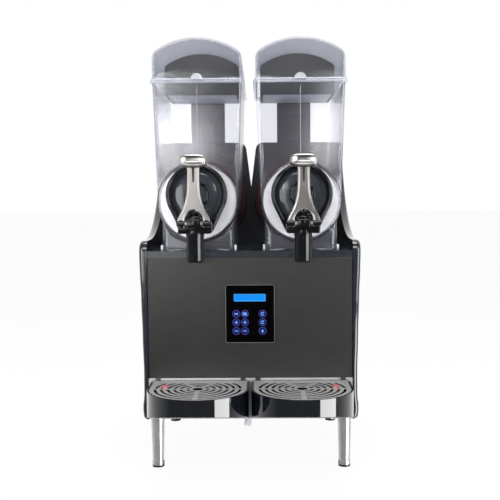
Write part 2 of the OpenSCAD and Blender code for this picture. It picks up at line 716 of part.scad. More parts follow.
crown_z = block_top + seat_gap;
crown_h = 12;
wing_z = block_top + 8;
module tap_piston(side) color([0.1, 0.1, 0.11]) placed() on_side(side) {
    translate([0, -nozzle_y, outlet_z - outlet_r - 2])
        cylinder(r = nozzle_bore_r - run_gap, h = crown_z - outlet_z + outlet_r + 2 + eps);
    difference() {
        translate([0, -nozzle_y, crown_z]) cylinder(r = nozzle_r - 0.5, h = crown_h);
        for (x = [-1, 1]) translate([x * (nozzle_r - 3), -nozzle_y - nozzle_r, crown_z + crown_h - 3])
            rotate([0, x * 40, 0]) translate([x > 0 ? 0 : -10, 0, 0]) cube([10, 2 * nozzle_r, 8]);
    }
    block([-arm_out, -nozzle_y - 10, wing_z], [arm_out, -nozzle_y + 6, wing_z + 4]);
}
module tap_piston_left() tap_piston(-1);
module tap_piston_right() tap_piston(1);

// The lever: an oval paddle on a stem that splits into a fork with an eye on each leg
arm_in = leg_in + seat_gap;
arm_out = 27;
crotch_z = pivot_z + 26;
paddle_z = pivot_z + lever_h - paddle_h / 2;
module fork_half() {
    polygon([[leg_in, pivot_z - 5], [leg_out, pivot_z - 5], [leg_out, pivot_z + 8],
             [stem_w / 2 + 5, pivot_z + 38], [stem_w / 2, pivot_z + 58], [stem_w / 2, paddle_z],
             [0, paddle_z], [0, crotch_z], [leg_in / 2, crotch_z - 3], [leg_in, crotch_z - 14]]);
}
module tap_lever(side) color([0.72, 0.72, 0.73]) placed() on_side(side) difference() {
    union() {
        along_y(pivot_y - lever_t / 2, pivot_y + lever_t / 2) {
            fork_half();
            mirror([1, 0]) fork_half();
        }
        for (x = [-1, 1]) {
            rod_x(pivot_y, pivot_z, 8, x > 0 ? leg_in : -leg_out, x > 0 ? leg_out : -leg_in);
            block([x * (arm_in + arm_out) / 2 - (arm_out - arm_in) / 2, pivot_y, wing_z - 7],
                  [x * (arm_in + arm_out) / 2 + (arm_out - arm_in) / 2, pivot_y + 28, wing_z - 0.5]);
        }
        intersection() {
            along_y(pivot_y - lever_t, pivot_y + lever_t) {
                translate([-(paddle_w - paddle_h) / 2, paddle_z]) circle(r = paddle_h / 2);
                translate([(paddle_w - paddle_h) / 2, paddle_z]) circle(r = paddle_h / 2);
                translate([-(paddle_w - paddle_h) / 2, paddle_z - paddle_h / 2])
                    square([paddle_w - paddle_h, paddle_h]);
            }
            along_x(-paddle_w, paddle_w) translate([pivot_y, paddle_z])
                intersection() {
                    translate([-30, 0]) circle(r = 40, $fn = 96);
                    translate([30, 0]) circle(r = 40, $fn = 96);
                }
        }
    }
    rod_x(pivot_y, pivot_z, pivot_r + run_gap, -leg_out - eps, leg_out + eps);
}
module tap_lever_left() tap_lever(-1);
module tap_lever_right() tap_lever(1);

wire_r = 0.9;
module lever_spring(side) color("gray") placed() on_side(side) for (x = [-1, 1])
    translate([x * (boss_half + leg_in) / 2, pivot_y, pivot_z]) rotate([0, 90, 0]) rotate_extrude()
        for (k = [-1 : 1])
            translate([pivot_r + 0.5 + wire_r, k * wire_r * 1.6]) circle(r = wire_r, $fn = 16);
module lever_spring_left() lever_spring(-1);
module lever_spring_right() lever_spring(1);

// ---- Drip trays ----

module tray_outline(r, back) {
    intersection() {
        union() {
            translate([0, -tray_y]) circle(r = r, $fn = 128);
            translate([-r, -tray_y]) square([2 * r, tray_y]);
        }
        translate([-2 * r, -3 * r]) square([4 * r, 3 * r - back]);
    }
}
tray_slope = atan2(tray_front_z - tray_back_z, tray_reach);
// Everything below the sloping underside, raised by a wall
module below_tray(up) {
    translate([-2 * tray_r, 0, tray_back_z + up]) rotate([-tray_slope, 0, 0])
        translate([0, -2 * tray_reach, -tray_top]) cube([4 * tray_r, 3 * tray_reach, tray_top]);
}
float_x = tray_r - float_in;
float_z = tray_top - 30;
float_side = float_r + 0.5;
guide_r = float_side + 2.5;
grid_r = tray_r - tray_wall - 1;
grid_z = tray_top - grid_t - 0.7;
hook_w = 10;
hook_h = 6;
module drip_tray(side) color([0.08, 0.09, 0.12]) placed() translate([side * tray_x, 0, 0]) difference() {
    union() {
        translate([0, 0, tray_back_z - 20]) linear_extrude(tray_top - tray_back_z + 20)
            tray_outline(tray_r, seat_gap);
        // Hooks at the back corners
        for (x = [-1, 1])
            block([x * (tray_r - 12) - hook_w / 2, -grid_cut, tray_top - 1],
                  [x * (tray_r - 12) + hook_w / 2, -seat_gap, tray_top + hook_h]);
    }
    below_tray(0);
    translate([0, 0, grid_z - seat_gap]) linear_extrude(tray_top) tray_outline(grid_r + seat_gap, grid_cut);
    difference() {
        translate([0, 0, tray_back_z]) linear_extrude(tray_top)
            tray_outline(grid_r - ledge_w, tray_back_d + ledge_w);
        below_tray(tray_wall);
        translate([side * float_x, -float_y, 0]) cylinder(r = guide_r, h = float_z + 14);
    }
    translate([side * float_x, -float_y, float_z]) cylinder(r = float_side, h = tray_top);
    for (x = [-tray_pin_x, tray_pin_x])
        rod_y(x, tray_pin_z, tray_pin_r + 0.1, -tray_pin_len - 1, eps);
}
module drip_tray_left() drip_tray(-1);
module drip_tray_right() drip_tray(1);

// The ring slots are counted from a radius inside the finger hole
ring_start = 8;
ring_count = floor((grid_r - ring_start - 10) / ring_pitch);
grid_spoke = 9;
module drip_grid(side) color("lightgray") placed()
    translate([side * tray_x, 0, grid_z]) linear_extrude(grid_t) difference() {
        tray_outline(grid_r, grid_cut + seat_gap);
        translate([0, -tray_y]) circle(r = finger_hole_r);
        translate([side * float_x, -float_y]) circle(r = float_side);
        intersection() {
            difference() {
                translate([0, -tray_y]) union() for (k = [1 : ring_count]) difference() {
                    circle(r = ring_start + k * ring_pitch + ring_slot_w / 2);
                    circle(r = ring_start + k * ring_pitch - ring_slot_w / 2);
                }
                for (a = [-90, 0, 60, 120, 180]) translate([0, -tray_y]) rotate(a)
                    translate([0, -grid_spoke / 2]) square([grid_r, grid_spoke]);
            }
            tray_outline(grid_r - 5, tray_back_d + 3);
        }
    }
module drip_grid_left() drip_grid(-1);
module drip_grid_right() drip_grid(1);

module float(side) color([0.8, 0.06, 0.06]) placed()
    translate([side * (tray_x + float_x), -float_y, float_z + seat_gap])
        cylinder(r = float_r, h = tray_top - float_z + 1);
module float_left() float(-1);
module float_right() float(1);

// ---- Control panel ----

key_columns = [-1.6 * key_pitch, -0.6 * key_pitch, 1.45 * key_pitch];
key_rows = [fascia_z, fascia_z - key_pitch, fascia_z - 2 * key_pitch];
display_z = fascia_z + 31;
module control_fascia() color([0.02, 0.02, 0.03]) placed() difference() {
    block([-fascia_w / 2, -fascia_t, fascia_z - fascia_h / 2], [fascia_w / 2, 0, fascia_z + fascia_h / 2]);
    for (x = key_columns) for (z = key_rows) rod_y(x, z, key_r + seat_gap, -fascia_t - eps, eps);
    block([-display_w / 2, -fascia_t - eps, display_z - display_h / 2],
          [display_w / 2, -fascia_t + 1, display_z + display_h / 2]);
}
module control_display() color([0.1, 0.25, 0.8]) placed()
    block([-display_w / 2, -fascia_t, display_z - display_h / 2],
          [display_w / 2, -fascia_t + 1, display_z + display_h / 2]);

stem_back = 6;
switch_front = stem_back + key_travel + 0.3;
board_y = switch_front + 2.6;
module control_board() color("darkgreen") placed() {
    block([-window_w / 2 + 2, board_y, fascia_z - window_h / 2 + 2],
          [window_w / 2 - 2, board_y + 1.6, fascia_z + window_h / 2 - 2]);
    for (x = key_columns) for (z = key_rows) block([x - 3, switch_front, z - 3], [x + 3, board_y + 1, z + 3]);
    // Stand-offs to the front panel's window edge
    for (x = [-1, 1]) for (z = [-1, 1])
        translate([x * (window_w / 2 - 1), 0, fascia_z + z * (window_h / 2 - 1)])
            block([-4, front_sheet_t + seat_gap, -4], [4, board_y + 1, 4]);
}
module key(column, row) color([0.03, 0.03, 0.04]) placed() {
    rod_y(key_columns[column], key_rows[row], key_r, -fascia_t - key_travel, 0);
    rod_y(key_columns[column], key_rows[row], 3, -eps, stem_back);
}

// ---- Inside the cabinet ----

compressor_r = (cabinet_w / 2 - compressor_gap - compressor_middle_gap) / 2;
compressor_x = -compressor_middle_gap - compressor_r;
compressor_y = cabinet_d / 2 + compressor_back;
compressor_top = leg_h + compressor_h;
compressor_base = leg_h + sheet_t + 14;
compressor_foot = compressor_r - compressor_foot_in;
module compressor() color([0.1, 0.1, 0.1]) placed() {
    translate([compressor_x, compressor_y, 0]) rotate_extrude()
        polygon(concat([[0, compressor_base], [compressor_r - 12, compressor_base],
                        [compressor_r, compressor_base + 14]],
                       arc(compressor_r - compressor_dome_r, compressor_top - compressor_dome_r,
                           compressor_dome_r, 0, 90, 6),
                       [[0, compressor_top]]));
    for (x = [-compressor_foot, compressor_foot]) for (y = [-compressor_foot, compressor_foot])
        translate([compressor_x + x, compressor_y + y, leg_h + sheet_t]) cylinder(r = 9, h = 26);
}

cond_w = inner_w / 2 - cond_x - cond_gap;
cond_back = rear_in - sheet_t - 3;
cond_front = cond_back - cond_d;
cond_floor = leg_h + sheet_t;
cond_top = housing_floor - 12;
fan_x = cond_x + cond_w / 2;
fan_z = (cond_floor + cond_top) / 2;
module condenser() color("silver") placed() {
    difference() {
        block([cond_x, cond_front, cond_floor], [cond_x + cond_w, cond_back, cond_top]);
        for (x = [fin_pitch : fin_pitch : cond_w - fin_pitch]) for (y = [cond_front - eps, cond_back - 18])
            block([cond_x + x - 2, y, cond_floor + 4], [cond_x + x + 2, y + 18 + eps, cond_top - 4]);
    }
}

fan_r = cond_w / 2 - fan_gap;
shroud_y = cond_front - shroud_d;
motor_y = shroud_y - motor_reach;
module fan_motor() color([0.25, 0.25, 0.27]) placed() {
    difference() {
        block([cond_x, shroud_y, cond_floor], [cond_x + cond_w, cond_front, cond_top]);
        rod_y(fan_x, fan_z, fan_r + 4, shroud_y - eps, cond_front + eps);
    }
    rod_y(fan_x, fan_z, motor_r, motor_y, motor_y + motor_len);
    rod_y(fan_x, fan_z, 3, motor_y, shroud_y + 8);
    // Arms that carry the motor from the shroud
    for (x = [-1, 1]) {
        block([fan_x + x * (cond_w / 2 - 4) - 4, motor_y + 10, fan_z - 6],
              [fan_x + x * (cond_w / 2 - 4) + 4, shroud_y + eps, fan_z + 6]);
        block([fan_x + (x > 0 ? motor_r - 5 : -cond_w / 2), motor_y + 10, fan_z - 6],
              [fan_x + (x > 0 ? cond_w / 2 : 5 - motor_r), motor_y + 16, fan_z + 6]);
    }
}
fan_hub_y = shroud_y - 14;
module fan_blade() color("black") placed() difference() {
    union() {
        rod_y(fan_x, fan_z, 16, fan_hub_y, fan_hub_y + 20);
        for (a = [0 : 72 : 359]) translate([fan_x, fan_hub_y + 10, fan_z]) rotate([0, a, 0])
            translate([10, 0, 0]) rotate([35, 0, 0]) translate([0, -1, -18]) cube([fan_r - 14, 2, 36]);
    }
    rod_y(fan_x, fan_z, 3 + run_gap, fan_hub_y - 10, fan_hub_y + 40);
}

// A pipe along straight runs, with a square elbow fitting at each corner
module pipe(points) {
    for (k = [0 : len(points) - 2]) {
        run = points[k + 1] - points[k];
        translate(points[k]) rotate([0, acos(run[2] / norm(run)), atan2(run[1], run[0])])
            cylinder(r = pipe_r, h = norm(run), $fn = 24);
        if (k > 0) translate(points[k]) cube(2 * pipe_r + 2, center = true);
    }
}
lines_z = (cond_top + housing_floor) / 2;
lines_y = (gearbox_front + gearbox_back) / 2;
line_y = cond_front + 20;
module refrigerant_lines() color([0.72, 0.45, 0.2]) placed() {
    // From the compressor to the condenser
    pipe([[compressor_x, compressor_y, compressor_top + seat_gap], [compressor_x, compressor_y, lines_z],
          [fan_x, compressor_y, lines_z], [fan_x, line_y, lines_z], [fan_x, line_y, cond_top + seat_gap]]);
    // From the condenser to the right drum
    pipe([[pipe_x, line_y, cond_top + seat_gap], [pipe_x, line_y, axis_z],
          [pipe_x, housing_y + seat_gap, axis_z]]);
    // From the left drum back to the compressor
    pipe([[compressor_x - line_side, compressor_y + line_side, compressor_top + seat_gap],
          [compressor_x - line_side, compressor_y + line_side, lines_z],
          [compressor_x - line_side, lines_y, lines_z], [-pipe_x, lines_y, lines_z],
          [-pipe_x, lines_y, axis_z], [-pipe_x, housing_y + seat_gap, axis_z]]);
}

module power_inlet() color([0.05, 0.05, 0.05]) placed() {
    difference() {
        union() {
            block([inlet_x - inlet_w / 2 + seat_gap, rear_in - 22, inlet_z - inlet_h / 2 + seat_gap],
                  [inlet_x + inlet_w / 2 - seat_gap, rear_out, inlet_z + inlet_h / 2 - seat_gap]);
            block([inlet_x - inlet_w / 2 - 4, rear_out, inlet_z - inlet_h / 2 - 4],
                  [inlet_x + inlet_w / 2 + 4, rear_out + 2, inlet_z + inlet_h / 2 + 4]);
        }
        block([inlet_x - 12, rear_out - 16, inlet_z - 8], [inlet_x + 12, rear_out + 2 + eps, inlet_z + 8]);
    }
    for (x = [-7, 0, 7])
        block([inlet_x + x - 1, rear_out - 17, inlet_z - (x == 0 ? 0 : 4)],
              [inlet_x + x + 1, rear_out - 4, inlet_z + (x == 0 ? 4 : 0)]);
    difference() {
        union() {
            block([switch_x - switch_w / 2 + seat_gap, rear_in - 20, inlet_z - switch_h / 2 + seat_gap],
                  [switch_x + switch_w / 2 - seat_gap, rear_out, inlet_z + switch_h / 2 - seat_gap]);
            block([switch_x - switch_w / 2 - 2, rear_out, inlet_z - switch_h / 2 - 2],
                  [switch_x + switch_w / 2 + 2, rear_out + 1.5, inlet_z + switch_h / 2 + 2]);
        }
        block([switch_x - 8, rear_out - 12, inlet_z - 12], [switch_x + 8, rear_out + 3, inlet_z + 12]);
    }
    rod_x(rear_out - 5, inlet_z, 1.5, switch_x - 8 - eps, switch_x + 8 + eps);
}
module power_rocker() color([0.1, 0.1, 0.1]) placed() difference() {
    translate([0, rear_out - 5, inlet_z]) rotate([rocker_tilt, 0, 0]) along_x(switch_x - 7.5, switch_x + 7.5)
        polygon([[-3, -3], [-3, 3], [4, 10.5], [5.5, 10.5], [4, 0], [5.5, -10.5], [4, -10.5]]);
    rod_x(rear_out - 5, inlet_z, 1.5 + run_gap, switch_x - 10, switch_x + 10);
}

module drain_tube() color([0.9, 0.9, 0.88]) placed() translate([-4, panel_return + 12, leg_h]) {
    translate([0, 0, -6]) cylinder(r = 5.5, h = 6);
    translate([0, 0, -5]) rotate([160, 14, 0]) difference() {
        cylinder(r = 7, h = 16);
        translate([0, 0, 9]) cylinder(r = 4.5, h = 8);
    }
}

// ---- Legs ----

leg_x = cabinet_w / 2 - leg_inset;
leg_places = [for (x = [-leg_x, leg_x]) for (y = [leg_front, cabinet_d - leg_back]) [x, y]];
module legs() color("silver") placed() for (p = leg_places)
    translate([p[0], p[1], foot_h]) cylinder(r1 = leg_foot_r, r2 = leg_top_r, h = leg_h - foot_h);
module foot_tips() color([0.1, 0.1, 0.1]) placed() for (p = leg_places)
    translate([p[0], p[1], 0]) cylinder(r = leg_foot_r + 0.5, h = foot_h);

base_pan();
inner_frame();
front_panel();
lower_front_plate();
side_panel_left();
side_panel_right();
rear_panel();
top_deck();
rear_housing();
light_columns();
bowl_gaskets();
evaporators();
gear_motors();
legs();
foot_tips();
control_fascia();
control_display();
control_board();
compressor();
condenser();
fan_motor();
fan_blade();
refrigerant_lines();
power_inlet();
power_rocker();
drain_tube();
case_screws();
bowl_left();
bowl_right();
lid_left();
lid_right();
light_box_left();
light_box_right();
auger_left();
auger_right();
drive_shaft_left();
drive_shaft_right();
tap_body_left();
tap_body_right();
tap_lever_left();
tap_lever_right();
tap_piston_left();
tap_piston_right();
lever_spring_left();
lever_spring_right();
drip_tray_left();
drip_tray_right();
drip_grid_left();
drip_grid_right();
float_left();
float_right();
key(0, 0);  // key_top_left
key(1, 0);  // key_top_middle
key(2, 0);  // key_top_right
key(0, 1);  // key_mid_left
key(1, 1);  // key_mid_middle
key(2, 1);  // key_mid_right
key(0, 2);  // key_low_left
key(1, 2);  // key_low_middle
key(2, 2);  // key_low_right
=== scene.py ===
import json
import math

import bmesh
import bpy
from mathutils import Matrix, Vector
from mathutils.bvhtree import BVHTree


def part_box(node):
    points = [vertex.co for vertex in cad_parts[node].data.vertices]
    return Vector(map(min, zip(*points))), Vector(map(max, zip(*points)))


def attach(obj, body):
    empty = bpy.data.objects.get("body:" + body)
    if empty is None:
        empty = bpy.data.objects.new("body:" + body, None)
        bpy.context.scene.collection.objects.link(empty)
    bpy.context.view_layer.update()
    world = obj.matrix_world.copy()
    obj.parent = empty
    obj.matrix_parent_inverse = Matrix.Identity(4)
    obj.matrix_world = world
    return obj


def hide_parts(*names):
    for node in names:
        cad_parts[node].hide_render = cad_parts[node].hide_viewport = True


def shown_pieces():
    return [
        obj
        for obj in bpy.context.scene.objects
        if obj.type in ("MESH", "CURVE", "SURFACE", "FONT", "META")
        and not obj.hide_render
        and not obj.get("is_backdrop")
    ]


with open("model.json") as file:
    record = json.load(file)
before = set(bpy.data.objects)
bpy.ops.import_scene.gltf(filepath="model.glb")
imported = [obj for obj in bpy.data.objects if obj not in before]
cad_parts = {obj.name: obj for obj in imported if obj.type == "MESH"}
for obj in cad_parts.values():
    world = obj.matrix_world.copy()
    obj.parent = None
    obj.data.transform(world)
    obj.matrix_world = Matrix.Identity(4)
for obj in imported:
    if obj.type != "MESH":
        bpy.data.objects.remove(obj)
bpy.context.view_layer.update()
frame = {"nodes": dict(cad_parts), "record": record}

# A twin-bowl slushie machine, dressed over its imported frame. Metres, Z up, the front faces -Y.
cadNodes = frame["nodes"]
mm = 0.001
sides = {"left": -1, "right": 1}
print("frame loaded:", len(cadNodes), "nodes")

# Where things show in the photograph's 500 x 500 frame
imagePoints = {
    "leftEdgeX": 138.5,
    "rightEdgeX": 361.8,
    "topEdgeY": 38.0,
    "bottomEdgeY": 468.0,
    "leftPaddle": (194.5, 160.5),
    "rightPaddle": (302.7, 161.5),
    "leftNozzleMouth": (195.7, 260.0),
    "rightNozzleMouth": (302.2, 261.0),
    "leftTab": (196.7, 76.0),
    "rightTab": (300.2, 76.0),
    "leftSeam": (197.0, 120.0),
    "rightSeam": (300.5, 120.0),
    "display": (249.5, 297.4),
    "keyTopLeft": (236.1, 313.1),
    "keyLowRight": (262.5, 330.1),
    "leftFloat": (163.5, 388.0),
    "rightFloat": (338.5, 387.0),
    "drainPlug": (247.5, 424.5),
    "leftFoot": (157.0, 467.0),
    "rightFoot": (346.5, 466.0),
}
imageSize = (500, 500)

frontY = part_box("front_panel")[0].y      # the front panel's face, from which depths are counted


# The camera: in front of the right of the middle, above the trays, tilted down a little

camera = {
    "place": (0.022, frontY - 1.640, 0.540),
    "aim": (0.0007, frontY, 0.4366),
    "roll": 0.4,             # degrees, the photograph leans this much
    "lens": 60.8,
    "sensor": 36.0,
    "shift": (0.0, 0.0),
}


def makeCamera(settings):
    data = bpy.data.cameras.new("camera")
    data.lens = settings["lens"]
    data.sensor_width = settings["sensor"]
    data.sensor_fit = "AUTO"
    data.shift_x, data.shift_y = settings["shift"]
    data.clip_start, data.clip_end = 0.05, 50
    obj = bpy.data.objects.new("camera", data)
    place = Vector(settings["place"])
    turn = (Vector(settings["aim"]) - place).to_track_quat("-Z", "Y").to_matrix()
    turn = turn @ Matrix.Rotation(math.radians(-settings["roll"]), 3, "Z")
    obj.matrix_world = Matrix.Translation(place) @ turn.to_4x4()
    bpy.context.scene.collection.objects.link(obj)
    bpy.context.scene.camera = obj
    return obj


cameraObject = makeCamera(camera)
cameraMatrix = cameraObject.matrix_world.copy()


def rayThrough(point):
    width, height = imageSize
    longSide = max(width, height)
    shiftX, shiftY = camera["shift"]
    local = Vector((point[0] - width / 2 + shiftX * longSide,
                    height / 2 - point[1] + shiftY * longSide,
                    -longSide * camera["lens"] / camera["sensor"]))
    return cameraMatrix.translation, (cameraMatrix.to_3x3() @ local).normalized()


def seenAt(place):
    width, height = imageSize
    longSide = max(width, height)
    local = cameraMatrix.inverted() @ Vector(place)
    reach = longSide * camera["lens"] / camera["sensor"] / -local.z
    shiftX, shiftY = camera["shift"]
    return (local.x * reach + width / 2 - shiftX * longSide,
            height / 2 - local.y * reach + shiftY * longSide)


# Where the ray through an image point meets a carrier, in mm from the middle of the front panel's foot
def placeOn(carrier, point):
    tree = BVHTree.FromObject(carrier, bpy.context.evaluated_depsgraph_get())
    start, way = rayThrough(imagePoints[point])
    hit = tree.ray_cast(start, way)[0]
    if hit is None:      # a miss takes the place nearest the ray
        middle = sum((Vector(c) for c in carrier.bound_box), Vector()) / 8
        hit = tree.find_nearest(start + way * (middle - start).dot(way))[0]
    return hit / mm - Vector((0, frontY / mm, 0))


print("camera set")


# Colour, object and node helpers

def linear(hexColour, alpha=1.0):
    channels = [int(hexColour[i:i + 2], 16) / 255 for i in (1, 3, 5)]
    return tuple(c / 12.92 if c <= 0.04045 else ((c + 0.055) / 1.055) ** 2.4 for c in channels) + (alpha,)


def addNode(tree, kind, settings=None, links=None):
    node = tree.nodes.new(kind)
    for name, value in (settings or {}).items():
        if isinstance(name, int) or name in node.inputs:
            node.inputs[name].default_value = value
        else:
            setattr(node, name, value)
    for name, source in (links or {}).items():
        tree.links.new(source, node.inputs[name])
    return node


def addObject(name, data):
    obj = bpy.data.objects.new(name, data)
    bpy.context.scene.collection.objects.link(obj)
    return obj


# The empty node tree of a material or a world
def emptyTree(owner):
    owner.use_nodes = True
    owner.node_tree.nodes.clear()
    return owner.node_tree


def startMaterial(name, **settings):
    material = bpy.data.materials.new(name)
    tree = emptyTree(material)
    shader = addNode(tree, "ShaderNodeBsdfPrincipled", settings)
    addNode(tree, "ShaderNodeOutputMaterial", links={"Surface": shader.outputs["BSDF"]})
    return material, tree, shader


# Colour, roughness and bump that vary over the surface. grain is the pattern's size in mm: one number, or one
# for each of X, Y and Z.
def varied(name, colours, grain, roughness, bump=0.0, bumpDepth=0.0001, detail=4.0, **settings):
    material, tree, shader = startMaterial(name, **settings)
    grains = grain if isinstance(grain, tuple) else (grain,) * 3
    place = addNode(tree, "ShaderNodeTexCoord")
    scaled = addNode(tree, "ShaderNodeMapping", {"Scale": [1 / (g * mm) for g in grains]},
                     {"Vector": place.outputs["Object"]})
    noise = addNode(tree, "ShaderNodeTexNoise", {"Scale": 1.0, "Detail": detail, "Roughness": 0.6},
                    {"Vector": scaled.outputs["Vector"]})
    ramp = addNode(tree, "ShaderNodeValToRGB", links={"Fac": noise.outputs["Fac"]})
    ramp.color_ramp.elements[0].position, ramp.color_ramp.elements[1].position = 0.3, 0.7
    ramp.color_ramp.elements[0].color = linear(colours[0])
    ramp.color_ramp.elements[1].color = linear(colours[1])
    rough = addNode(tree, "ShaderNodeMapRange", {"From Min": 0.3, "From Max": 0.7, "To Min": roughness[0],
                                                 "To Max": roughness[1]}, {"Value": noise.outputs["Fac"]})
    tree.links.new(ramp.outputs["Color"], shader.inputs["Base Color"])
    tree.links.new(rough.outputs["Result"], shader.inputs["Roughness"])
    if bump:
        relief = addNode(tree, "ShaderNodeBump", {"Strength": bump, "Distance": bumpDepth},
                         {"Height": noise.outputs["Fac"]})
        tree.links.new(relief.outputs["Normal"], shader.inputs["Normal"])
    return material


# ABS, gloss moulded: sharp reflections over a faint orange peel of about 9 mm
def glossAbs(name, low, high, gloss, coat=0.35):
    return varied(name, (low, high), 9, (gloss, gloss + 0.05), bump=0.02, bumpDepth=0.00005, detail=2.0,
                  **{"IOR": 1.53, "Coat Weight": coat, "Coat Roughness": 0.05})


# ABS, spark-eroded mould texture: satin, with a grain of about 1 mm
def satinAbs(name, low, high):
    return varied(name, (low, high), 1.2, (0.38, 0.52), bump=0.18, IOR=1.53)


# Steel, powder coated: fine even peel
def powderCoat(name, low, high):
    return varied(name, (low, high), 1.6, (0.4, 0.52), bump=0.2, IOR=1.5)


# A printed window lit from behind, with a fine even grain of 0.5 mm
def litPrint(name, colour, strength):
    return varied(name, ("#02060c", "#040a12"), 0.5, (0.3, 0.4), **{
        "IOR": 1.3, "Emission Color": linear(colour), "Emission Strength": strength})


# Polycarbonate, injection moulded and clear. The walls are too thin to bend the view, so light passes
# straight through, tinted more where the wall is seen along its length, with a little haze and a sharp
# gloss over it. Its flow marks are about 33 mm across and 83 mm high.
def clearPolycarbonate(name, tint, edgeTint, haze, edgeHaze, hazeColour="#e9ecf4", gloss=0.03, edgeGloss=0.6):
    material, tree, shader = startMaterial(name, **{
        "Base Color": linear(hazeColour), "Roughness": 0.25, "IOR": 1.585})
    facing = addNode(tree, "ShaderNodeLayerWeight", {"Blend": 0.5})
    steep = addNode(tree, "ShaderNodeMath", {"operation": "POWER", 1: 5.0}, {0: facing.outputs["Facing"]})
    colour = addNode(tree, "ShaderNodeMix", {"data_type": "RGBA", 6: linear(tint), 7: linear(edgeTint)},
                     {0: steep.outputs[0]})
    through = addNode(tree, "ShaderNodeBsdfTransparent", links={"Color": colour.outputs[2]})
    place = addNode(tree, "ShaderNodeTexCoord")
    scaled = addNode(tree, "ShaderNodeMapping", {"Scale": (30.0, 30.0, 12.0)},
                     {"Vector": place.outputs["Object"]})
    noise = addNode(tree, "ShaderNodeTexNoise", {"Scale": 1.0, "Detail": 2.0},
                    {"Vector": scaled.outputs["Vector"]})
    cloud = addNode(tree, "ShaderNodeMapRange", {"To Min": haze * 0.7, "To Max": haze * 1.3},
                    {"Value": noise.outputs["Fac"]})
    milk = addNode(tree, "ShaderNodeMapRange", {"To Max": edgeHaze},
                   {"Value": steep.outputs[0], "To Min": cloud.outputs["Result"]})
    body = addNode(tree, "ShaderNodeMixShader", links={0: milk.outputs["Result"], 1: through.outputs["BSDF"],
                                                       2: shader.outputs["BSDF"]})
    mirror = addNode(tree, "ShaderNodeMath", {"operation": "MULTIPLY_ADD", 1: edgeGloss, 2: 0.045},
                     {0: steep.outputs[0]})
    relief = addNode(tree, "ShaderNodeBump", {"Strength": 0.05, "Distance": 0.0006},
                     {"Height": noise.outputs["Fac"]})
    shine = addNode(tree, "ShaderNodeBsdfGlossy", {"Color": (1, 1, 1, 1), "Roughness": gloss},
                    {"Normal": relief.outputs["Normal"]})
    whole = addNode(tree, "ShaderNodeMixShader", links={0: mirror.outputs[0], 1: body.outputs["Shader"],
                                                        2: shine.outputs["BSDF"]})
    out = next(n for n in tree.nodes if n.type == "OUTPUT_MATERIAL")
    tree.links.new(whole.outputs["Shader"], out.inputs["Surface"])
    return material


